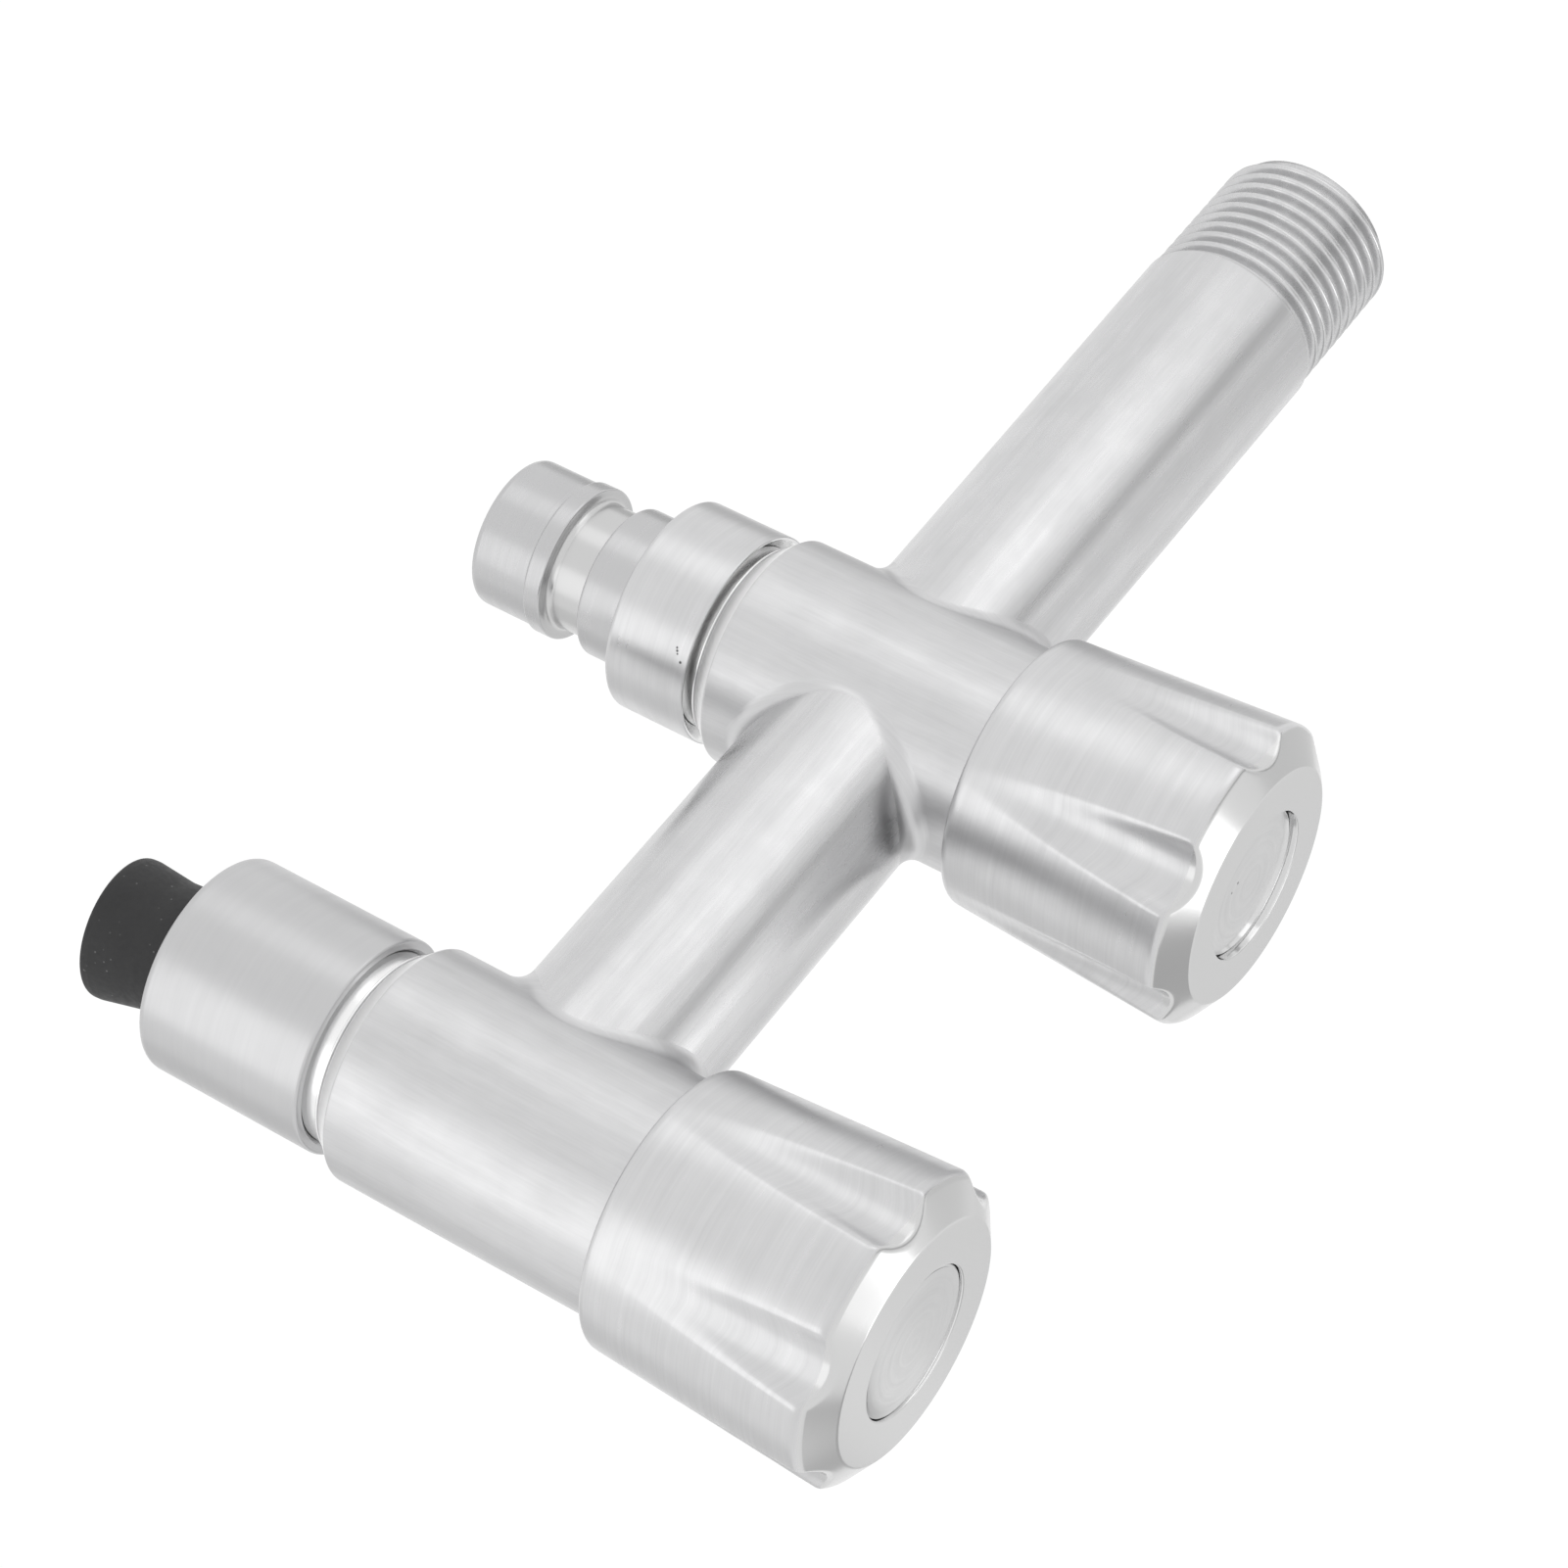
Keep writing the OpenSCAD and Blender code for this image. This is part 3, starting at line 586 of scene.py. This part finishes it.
def thread_tree():
    """Moves the skin of a pipe along Y in to a rounded 55 degree thread."""
    tree = bpy.data.node_groups.new("pipe_thread", "GeometryNodeTree")
    face = tree.interface
    face.new_socket("Geometry", in_out="INPUT", socket_type="NodeSocketGeometry")
    for label, value in (("Radius", THREAD_R), ("Pitch", THREAD_PITCH), ("Depth", THREAD_DEPTH),
                         ("Bore", PIPE_BORE_R)):
        face.new_socket(label, in_out="INPUT", socket_type="NodeSocketFloat").default_value = value
    face.new_socket("Material", in_out="INPUT", socket_type="NodeSocketMaterial")
    face.new_socket("Geometry", in_out="OUTPUT", socket_type="NodeSocketGeometry")
    bench = Bench(tree)
    given = bench.add("NodeGroupInput")
    radius, pitch, depth, bore = (bench.term(given.outputs[i]) for i in (1, 2, 3, 4))
    split = bench.add("ShaderNodeSeparateXYZ", Vector=bench.add("GeometryNodeInputPosition").outputs[0])
    x, y, z = (bench.term(split.outputs[i]) for i in range(3))
    out = (x * x + z * z).root()
    turn = (y / pitch + z.angle_from(x) / (2 * math.pi)).fraction()
    ridge = abs(2.0 * turn - 1.0)
    groove = ((ridge - THREAD_CREST) * THREAD_FLANK).eased()
    cut = radius - depth * groove * (y / (pitch * THREAD_RUN_IN)).held()
    skin = (out > bore * 1.12) * (y > 0.0)
    new = out + (out.least(cut) - out) * skin
    moved = bench.add("ShaderNodeCombineXYZ", X=x * new / out, Y=y, Z=z * new / out)
    carried = bench.add("GeometryNodeSetPosition", Geometry=given.outputs[0], Position=moved.outputs[0])
    real = bench.add("GeometryNodeRealizeInstances", Geometry=carried.outputs[0])
    skinned = bench.add("GeometryNodeSetMaterial", Geometry=real.outputs[0], Material=given.outputs[5])
    bench.add("NodeGroupOutput", _0=skinned.outputs[0])
    return tree


def grown(piece, tree, values):
    """Run a geometry tree on a piece with its inputs set, and keep the plain mesh."""
    work = piece.modifiers.new(tree.name, "NODES")
    work.node_group = tree
    for item in tree.interface.items_tree:
        if item.in_out == "INPUT" and item.name in values:
            work[item.identifier] = values[item.name]
    return applied(piece)


def spaced(start, stop, rows):
    """Points on a straight run of an outline, without its ends."""
    return [start.lerp(stop, i / rows) for i in range(1, rows)]


pipe_steel = steel_skin("pipe_steel", "long", 0, "Y", rough=0.28, polish_and_painted_light=(BORE_MATT,))
coped_y = WALL_Y + BODY_R + MM
thread_foot = Vector((THREAD_R, 0))
thread_rows = round(THREAD_LEN / THREAD_PITCH * TURN_ROWS)
mouth = rounded([(THREAD_R, THREAD_LEN - THREAD_CHAMFER, 0.3 * MM),
                 (THREAD_R - THREAD_CHAMFER, THREAD_LEN, 0.2 * MM),
                 (PIPE_BORE_R + BORE_EDGE, THREAD_LEN, 0), (PIPE_BORE_R, THREAD_LEN - BORE_EDGE, 0),
                 (PIPE_BORE_R, 0, 0)])[:-1]
shoulder = [Vector((SHOULDER_R - inset * MM, height * MM)) for inset, height in SHOULDER_EDGE]
outline = [Vector((PIPE_BORE_R, WALL_Y)), Vector((PIPE_R, WALL_Y)), Vector((PIPE_R, coped_y))]
outline += spaced(outline[-1], shoulder[0], PIPE_LONG_ROWS) + shoulder
outline += [thread_foot] + spaced(thread_foot, mouth[0], thread_rows) + mouth
outline += [Vector((PIPE_BORE_R, coped_y))]
inlet = coped(turned("inlet_pipe_threaded", outline, 0, "Y", THREAD_SEGMENTS), WALL_Y, 1)
grown(inlet, thread_tree(), {"Material": pipe_steel})
dress(inlet, pipe_steel, "tap_body", "brushed_steel", "inlet_pipe")

# Link pipe. A short plain tube between the two barrels; both ends are coped to lie on the
# barrel that they are welded to.
LINK_R = 10.45 * MM
front_cope_y = FRONT_Y + BODY_R + MM
wall_cope_y = WALL_Y - BODY_R - MM
stations = (FRONT_Y, front_cope_y, wall_cope_y, WALL_Y)
outline = [Vector((PIPE_BORE_R, FRONT_Y))] + [Vector((LINK_R, y)) for y in stations]
outline += [Vector((PIPE_BORE_R, y)) for y in (WALL_Y, wall_cope_y, front_cope_y)]
link = coped(coped(turned("link_pipe_tube", outline, 0, "Y"), FRONT_Y, 1), WALL_Y, -1)
dress(link, steel_skin("link_steel", "long", 0, "Y", rough=0.27), "tap_body", "brushed_steel", "link_pipe")

# Welds. Each pipe is welded round its saddle and ground to a hollow blend that a ball
# rolling on both surfaces would leave.
WELD_R = 2.2 * MM
WELD_TURNS = 144
WELD_STEPS = 10


def weld_ring(name, centre_y, side):
    """The hollow blend between barrel and pipe, with the corner behind it filled."""
    points = []
    for i in range(WELD_TURNS):
        a = 2 * math.pi * i / WELD_TURNS
        x = (PIPE_R + WELD_R) * math.cos(a)
        ball = Vector((x, math.sqrt((BODY_R + WELD_R) ** 2 - x * x), (PIPE_R + WELD_R) * math.sin(a)))
        on_pipe = Vector((PIPE_R * math.cos(a), ball.y, PIPE_R * math.sin(a)))
        on_body = Vector((ball.x, ball.y, 0)) * (BODY_R / (BODY_R + WELD_R)) + Vector((0, 0, ball.z))
        corner = Vector((on_pipe.x, math.sqrt(BODY_R ** 2 - on_pipe.x ** 2), on_pipe.z))
        points.append(corner)
        for k in range(WELD_STEPS + 1):
            t = k / WELD_STEPS
            spoke = ((on_pipe - ball) * (1 - t) + (on_body - ball) * t).normalized()
            points.append(ball + spoke * WELD_R)
    size = WELD_STEPS + 2
    faces = []
    for i in range(WELD_TURNS):
        for k in range(size):
            one = i * size
            two = (i + 1) % WELD_TURNS * size
            faces.append((one + k, one + (k + 1) % size, two + (k + 1) % size, two + k))
    mesh = bpy.data.meshes.new(name)
    mesh.from_pydata([(p.x * side, p.y * side + centre_y, p.z) for p in points], [], faces)
    return finished(name, mesh)


weld_steel = steel_skin("weld_steel", "round", 0, "Y", rough=BARREL_GRIND)
for weld, centre_y, side in (("inlet", WALL_Y, 1), ("link_wall", WALL_Y, -1), ("link_front", FRONT_Y, 1)):
    dress(weld_ring(weld + "_weld_blend", centre_y, side), weld_steel, "tap_body", "brushed_steel",
          weld + "_weld")

# Union collar. A turned nut sleeve on the neck of the wall barrel; its lip clamps the
# nipple, and an open groove with a bright lip shows above it; the mouth and lip are polished
# and painted lighter, painted light against the shade in the groove.
UNION_R = 11.85 * MM
UNION_TOP = -18.7 * MM
UNION_FOOT = -28.5 * MM
UNION_LIP = 2.5 * MM
UNION_EDGE = 0.35 * MM
UNION_MOUTH = 1.2 * MM
BARREL_R = 8.45 * MM
SLIP = 0.05 * MM
# The collar's mouth is painted near white: painted light against the shade of the gap, with a polished roughness.
MOUTH_POLISH_AND_PAINTED_LIGHT = (-ALL_ALONG, ALL_ALONG, UNION_R - 0.15 * MM, 0.92, 0.16)
UNION_NICKS = ((-7.10, -75.47, -20.30, 0.16), (-6.86, -75.66, -20.18, 0.18), (-6.62, -75.85, -20.06, 0.14),
               (-5.99, -76.22, -19.48, 0.20))
collar = turned("union_collar_nut", rounded([
    (BARREL_R + SLIP, UNION_FOOT, 0.1 * MM), (UNION_R, UNION_FOOT, 0.45 * MM),
    (UNION_R, UNION_TOP, 0.12 * MM), (UNION_R - UNION_EDGE, UNION_TOP, 0.08 * MM),
    (NECK_R + SLIP, UNION_TOP - UNION_MOUTH, 0), (NECK_R + SLIP, UNION_FOOT + UNION_LIP, 0),
    (BARREL_R + SLIP, UNION_FOOT + UNION_LIP, 0)]), WALL_Y)
dress(collar, steel_skin("union_steel", "round", WALL_Y, polish_and_painted_light=(MOUTH_POLISH_AND_PAINTED_LIGHT,), nicks=UNION_NICKS),
      "tap_body", "brushed_steel", "union_collar")

# Hose nipple. A turned quick-connect end: barrel, round locking groove, raised ring and
# sealing nose, bored through for the water.
NIPPLE_TOP = -24.5 * MM
NIPPLE_FLANGE = 1.5 * MM
NIPPLE_BORE_R = 5.0 * MM
CLAMP_R = 10.1 * MM
GROOVE_TOP = -34.6 * MM
LOCK_TOP = -39.3 * MM
NOSE_TOP = -41.5 * MM
NOSE_END = -48.6 * MM
GROOVE_R = 7.2 * MM
GROOVE_FILLET = 0.8 * MM
LOCK_R = 8.7 * MM
LOCK_BEVEL = 0.2 * MM
NOSE_R = 8.36 * MM
GROOVE_SHINE = (LOCK_TOP - 0.1 * MM, GROOVE_TOP + 0.1 * MM, ALL_ACROSS, 0.60, 0.25)
flange_z = NIPPLE_TOP - NIPPLE_FLANGE
nipple = turned("hose_nipple_turned", rounded([
    (NIPPLE_BORE_R, NIPPLE_TOP, 0), (CLAMP_R, NIPPLE_TOP, 0), (CLAMP_R, flange_z, 0),
    (BARREL_R, flange_z, 0), (BARREL_R, GROOVE_TOP, 0.3 * MM),
    (GROOVE_R, GROOVE_TOP, GROOVE_FILLET * 0.6), (GROOVE_R, LOCK_TOP, GROOVE_FILLET),
    (LOCK_R, LOCK_TOP, 0.25 * MM), (LOCK_R, NOSE_TOP + LOCK_BEVEL, 0.2 * MM), (NOSE_R, NOSE_TOP, 0.12 * MM),
    (NOSE_R, NOSE_END, 0.7 * MM), (NIPPLE_BORE_R + 0.6 * MM, NOSE_END, 0.3 * MM),
    (NIPPLE_BORE_R, NOSE_END + 0.8 * MM, 0.2 * MM)]), WALL_Y)
# The nipple's steel is painted darker than the other steel: painted shade.
dress(nipple, steel_skin("nipple_steel", "round", WALL_Y, tone=0.56, rough=0.28, polish_and_painted_light=(GROOVE_SHINE,)),
      "tap_body", "bright_steel", "hose_nipple")

# Outlet collar. A long turned sleeve on the neck of the front barrel that holds the
# filter screen and the rubber nozzle.
SPOUT_R = 11.7 * MM
SPOUT_TOP = -19.8 * MM
SPOUT_FOOT = -39.6 * MM
SPOUT_LIP = 2.0 * MM
SPOUT_MOUTH = 0.4 * MM
LIP_HOLE_R = 7.75 * MM
lip_z = SPOUT_FOOT + SPOUT_LIP
sleeve = turned("outlet_collar_sleeve", rounded([
    (LIP_HOLE_R, SPOUT_FOOT, 0.3 * MM), (SPOUT_R, SPOUT_FOOT, 0.8 * MM), (SPOUT_R, SPOUT_TOP, 0.35 * MM),
    (NECK_R + SLIP + SPOUT_MOUTH, SPOUT_TOP, 0.1 * MM), (NECK_R + SLIP, SPOUT_TOP - SPOUT_MOUTH, 0),
    (NECK_R + SLIP, lip_z, 0), (LIP_HOLE_R, lip_z, 0)]), FRONT_Y)
# The sleeve's steel is painted darker than the other steel: painted shade.
dress(sleeve, steel_skin("sleeve_steel", "round", FRONT_Y, tone=0.58, rough=0.32),
      "tap_body", "brushed_steel", "outlet_collar")

# Rubber nozzle. Black moulded rubber: a thick head held by the collar, a narrow waist and
# a flared lip, leaning a little away from the wall; dust specks lie on it.
WAIST_R = 6.85 * MM
FLARE_R = 7.5 * MM
NOZZLE_BORE_R = 4.4 * MM
NOZZLE_LEN = 10.9 * MM
HEAD_TOP = -25.9 * MM
NOZZLE_LEAN = 5.0
NOZZLE_SIDE_LEAN = 1.25
RUBBER_TONE = 0.018
DUST_TONE = 0.16
SPECK_SCALE = 1000.0
mouth_z = SPOUT_FOOT - NOZZLE_LEN


def rubber_skin(name):
    """Matt black rubber with a soft grain and pale dust specks."""
    material = bpy.data.materials.new(name)
    material.use_nodes = True
    bench = Bench(material.node_tree)
    bench.tree.nodes.clear()
    place = bench.add("ShaderNodeTexCoord").outputs["Object"]
    grain = bench.noise(place, 1800.0, 3.0)
    cloud = bench.noise(place, 220.0, 2.0)
    specks = bench.term(bench.add("ShaderNodeTexVoronoi", Vector=place, Scale=SPECK_SCALE).outputs[0])
    dust = (1.0 - specks * 7.0).held() * ((cloud - 0.47) * 8.0).held()
    tint = (1.40 * dust + (cloud - 0.5) * 0.10 + 0.09).held()
    colour = bench.mixed(tint, grey(RUBBER_TONE, 0.001), grey(DUST_TONE))
    bump = bench.add("ShaderNodeBump", Strength=0.5, Distance=0.05 * MM, Height=grain + dust)
    surface = bench.add("ShaderNodeBsdfPrincipled", Base_Color=colour, Specular_IOR_Level=0.35,
                        Roughness=(0.55 + (grain - 0.5) * 0.3).held(), Normal=bump.outputs[0])
    bench.add("ShaderNodeOutputMaterial", Surface=surface.outputs[0])
    return material


nozzle = turned("rubber_nozzle_moulded", rounded([
    (NOZZLE_BORE_R, HEAD_TOP, 0), (CLAMP_R, HEAD_TOP, 0), (CLAMP_R, lip_z, 0), (WAIST_R, lip_z, 0),
    (WAIST_R, (SPOUT_FOOT + mouth_z) / 2, 5 * MM), (FLARE_R, mouth_z + 1.1 * MM, 0.8 * MM),
    (FLARE_R, mouth_z, 0.7 * MM), (NOZZLE_BORE_R + 0.4 * MM, mouth_z, 0.4 * MM),
    (NOZZLE_BORE_R, mouth_z + 1.2 * MM, 0.4 * MM)], 8), FRONT_Y)
pivot = Matrix.Translation((0, FRONT_Y, lip_z))
lean = Matrix.Rotation(math.radians(-NOZZLE_LEAN), 4, "X")
side_lean = Matrix.Rotation(math.radians(-NOZZLE_SIDE_LEAN), 4, "Y")
bend = pivot @ side_lean @ lean @ pivot.inverted()
for vertex in nozzle.data.vertices:
    if vertex.co.z < lip_z + 1e-6:
        vertex.co = bend @ vertex.co
nozzle.data.update()
dress(nozzle, rubber_skin("nozzle_rubber"), "tap_body", "black_rubber", "rubber_nozzle")

# Handles. Each is one turned steel knob with six flame-shaped flutes ground into its
# flank and run out through the front chamfer; geometry nodes cut the flutes.
RIM_R = 14.85 * MM
CROWN_R = 16.5 * MM
FACE_R = 13.0 * MM
HANDLE_H = 28.2 * MM
CROWN_DROP = 2.4 * MM
RIM_Z = 15.0 * MM
FRONT_LIFT = 1.0 * MM
FLUTES = 6
FLUTE_TIP = 5.4 * MM
FLUTE_R = 5.7 * MM
FLUTE_SINK = math.radians(5.3)
FLUTE_EDGE = 0.6 * MM
FLUTE_DEEPEST_R = 11.7 * MM
KNOBS = (("wall", WALL_Y, 0.0), ("front", FRONT_Y, FRONT_LIFT))
FLUTE_TURNS = {"wall": math.radians(44.8), "front": math.radians(53.5)}
SKIRT_R = 13.1 * MM
SKIRT_TOP = 4.6 * MM
RECESS_R = 8.15 * MM
RECESS_DS = {"wall": 2.0 * MM, "front": 1.4 * MM}
POCKET_FLOOR = HANDLE_H - 5.1 * MM
RIM_ROUND = 1.1 * MM
CROWN_ROUND = 1.3 * MM
POCKET_R = 4.6 * MM
KNOB_SEGMENTS = 360
FLANK_SPAN = 5 * MM
FLANK_ROWS = 70
CHAMFER_ROWS = 18


def flute_tree():
    """Sinks flutes of a round cutter into a knob turned about Z, with softened edges."""
    tree = bpy.data.node_groups.new("handle_flutes", "GeometryNodeTree")
    face = tree.interface
    face.new_socket("Geometry", in_out="INPUT", socket_type="NodeSocketGeometry")
    sizes = (("Flutes", FLUTES), ("Turn", 0.0), ("Axis Y", 0.0), ("Cutter Radius", FLUTE_R),
             ("Start Radius", RIM_R), ("Start Z", 0.0), ("Lean", 0.0), ("Edge", FLUTE_EDGE))
    for label, value in sizes:
        face.new_socket(label, in_out="INPUT", socket_type="NodeSocketFloat").default_value = value
    face.new_socket("Material", in_out="INPUT", socket_type="NodeSocketMaterial")
    face.new_socket("Geometry", in_out="OUTPUT", socket_type="NodeSocketGeometry")
    bench = Bench(tree)
    given = bench.add("NodeGroupInput")
    count, turn, axis_y, cutter, start_r, start_z, lean, edge = (
        bench.term(given.outputs[i + 1]) for i in range(len(sizes)))
    split = bench.add("ShaderNodeSeparateXYZ", Vector=bench.add("GeometryNodeInputPosition").outputs[0])
    x, y, z = (bench.term(split.outputs[i]) for i in range(3))
    side = y - axis_y
    out = (x * x + side * side).root()
    share = 2 * math.pi / count
    lap = ((side.angle_from(x) - turn) / share + 0.5).fraction() - 0.5
    swing = lap * share
    step = swing.cosine() * lean.sine()
    rise = z - start_z
    along = rise * lean.cosine() - start_r * lean.sine()
    a = 1.0 - step * step
    b = start_r * swing.cosine() * -1.0 - along * step
    c = start_r * start_r + rise * rise - along * along - cutter * cutter
    inside = b * b - a * c
    near = (b * -1.0 - inside.most(0.0).root()) / a
    cut = near + (inside < 0.0)
    blend = (0.5 + 0.5 * (cut - out) / edge).held()
    new = cut + (out - cut) * blend - edge * blend * (1.0 - blend)
    skin = (out > FLUTE_DEEPEST_R) * (inside > 0.0)
    new = out + (new - out) * skin
    stretch = new / out.most(1e-6)
    moved = bench.add("ShaderNodeCombineXYZ", X=x * stretch, Y=axis_y + side * stretch, Z=z)
    carried = bench.add("GeometryNodeSetPosition", Geometry=given.outputs[0], Position=moved.outputs[0])
    real = bench.add("GeometryNodeRealizeInstances", Geometry=carried.outputs[0])
    skinned = bench.add("GeometryNodeSetMaterial", Geometry=real.outputs[0], Material=given.outputs[9])
    bench.add("NodeGroupOutput", _0=skinned.outputs[0])
    return tree


def knob_blank(name, centre_y, lift, recess_d):
    """The knob as it leaves the lathe, with close rows where the flutes will run."""
    base = RIM_Z + lift
    face_z = base + HANDLE_H
    outer = rounded([
        (SKIRT_R, base, 0.2 * MM), (RIM_R, base, RIM_ROUND), (CROWN_R, face_z - CROWN_DROP, CROWN_ROUND),
        (FACE_R, face_z, 0.5 * MM), (RECESS_R, face_z, 0.2 * MM), (RECESS_R, face_z - recess_d, 0.1 * MM),
        (POCKET_R, face_z - recess_d, 0), (POCKET_R, base + POCKET_FLOOR, 0), (0, base + POCKET_FLOOR, 0),
        (0, base + SKIRT_TOP, 0), (SKIRT_R, base + SKIRT_TOP, 0)], 6)
    dense = []
    for here, after in zip(outer, outer[1:] + outer[:1]):
        dense.append(here)
        span = (after - here).length
        if min(here[0], after[0]) > FACE_R - MM and here[1] >= base and here[1] < after[1] and span > MM:
            dense += spaced(here, after, FLANK_ROWS if span > FLANK_SPAN else CHAMFER_ROWS)
    return turned(name, dense, centre_y, "Z", KNOB_SEGMENTS)


flute_cutter = flute_tree()
flank = math.atan((CROWN_R - RIM_R) / (HANDLE_H - CROWN_DROP))
flute_lean = flank - FLUTE_SINK
for side, centre_y, lift in KNOBS:
    face_z = RIM_Z + lift + HANDLE_H
    crown_z = face_z - CROWN_DROP
    crown_shine = (crown_z, ALL_ALONG, ALL_ACROSS, 0.64, 0.21)
    # The recess wall round the cap is painted near white, painted light against the shade in the recess, with a
    # polished roughness.
    recess_polish_and_painted_light = (crown_z, face_z - 0.05 * MM, RECESS_R + 0.05 * MM, 0.95, 0.12)
    knob_steel = steel_skin(side + "_handle_steel", "round", centre_y, polish_and_painted_light=(crown_shine, recess_polish_and_painted_light))
    knob = grown(knob_blank(side + "_handle_knob", centre_y, lift, RECESS_DS[side]), flute_cutter, {
        "Turn": FLUTE_TURNS[side], "Axis Y": centre_y, "Lean": flute_lean, "Material": knob_steel,
        "Start Z": RIM_Z + lift + FLUTE_TIP - FLUTE_R * math.sin(flute_lean),
        "Start Radius": RIM_R + FLUTE_TIP * math.tan(flank) + FLUTE_R * math.cos(flute_lean)})
    dress(knob, knob_steel, side + "_knob", "bright_steel", side + "_handle")

# Index caps. A plain pressed steel cap, slightly domed and polished, closes the screw
# pocket of each handle; it is bare.
CAP_GAP = 0.07 * MM
CAP_H = 1.1 * MM
CAP_DOME = 0.25 * MM
CAP_TONES = {"wall": 0.69, "front": 0.65}
CAP_NICKS = {"wall": ((-2.75, -68.60, 42.52, 0.20), (-2.35, -69.75, 42.50, 0.16)), "front": ()}
CAP_SEGMENTS = 128
DOME_FROM = 8
DOME_ROWS = 10
cap_r = RECESS_R - CAP_GAP
dome_step = (90 - DOME_FROM) / DOME_ROWS
dome_angles = [math.radians(DOME_FROM + dome_step * k) for k in range(1, DOME_ROWS + 1)]
for side, centre_y, lift in KNOBS:
    ledge = RIM_Z + lift + HANDLE_H - RECESS_DS[side]
    shoulder_z = ledge + CAP_H
    dome = [Vector((cap_r * math.cos(t), shoulder_z + CAP_DOME * math.sin(t))) for t in dome_angles]
    dome[-1][0] = 0.0
    rim = rounded([(0, ledge, 0), (cap_r, ledge, 0), (cap_r, shoulder_z, 0.25 * MM),
                   (cap_r * 0.9, shoulder_z + CAP_DOME * 0.14, 0)])[:-1]
    cap = turned(side + "_cap_disc", rim + dome, centre_y, "Z", CAP_SEGMENTS)
    cap_steel = steel_skin(side + "_cap_steel", "round", centre_y, tone=CAP_TONES[side], blue=0.0, rough=0.18,
                           relief=0.005, nicks=CAP_NICKS[side])
    dress(cap, cap_steel, side + "_knob", "brushed_steel", side + "_index_cap")

# Inner pieces. The headworks, washers, screws and screen keep their own solids and get
# turned brass, lapped ceramic, bright steel and black rubber.


def plain_skin(name, colour, metal, rough, grain_scale):
    """One even material, metal or not, with a fine grain in tone, gloss and relief."""
    material = bpy.data.materials.new(name)
    material.use_nodes = True
    bench = Bench(material.node_tree)
    bench.tree.nodes.clear()
    place = bench.add("ShaderNodeTexCoord").outputs["Object"]
    grain = bench.noise(place, grain_scale, 3.0)
    darker = tuple(c * 0.8 for c in colour[:3]) + (1,)
    shade = bench.mixed(grain, colour, darker)
    bump = bench.add("ShaderNodeBump", Strength=0.3, Distance=0.02 * MM, Height=grain)
    surface = bench.add("ShaderNodeBsdfPrincipled", Base_Color=shade, Metallic=metal,
                        Roughness=(rough + (grain - 0.5) * 0.2).held(), Normal=bump.outputs[0])
    bench.add("ShaderNodeOutputMaterial", Surface=surface.outputs[0])
    return material


INNER_SKINS = {
    "brass": plain_skin("headwork_brass", (0.72, 0.56, 0.27, 1), 1.0, 0.32, 900.0),
    "ceramic": plain_skin("disc_ceramic", (0.86, 0.84, 0.79, 1), 0.0, 0.22, 600.0),
    "black_rubber": plain_skin("seal_rubber", (0.03, 0.03, 0.03, 1), 0.0, 0.6, 1500.0),
    "bright_steel": plain_skin("inner_steel", (0.76, 0.76, 0.77, 1), 1.0, 0.28, 1200.0),
    "brushed_steel": plain_skin("fastener_steel", (0.70, 0.70, 0.71, 1), 1.0, 0.34, 1200.0),
}
for row in frame["record"]["subparts"]:
    solid = frame["nodes"][row["node"]]
    solid.data.materials.clear()
    solid.data.materials.append(INNER_SKINS[row["material_slot"]])
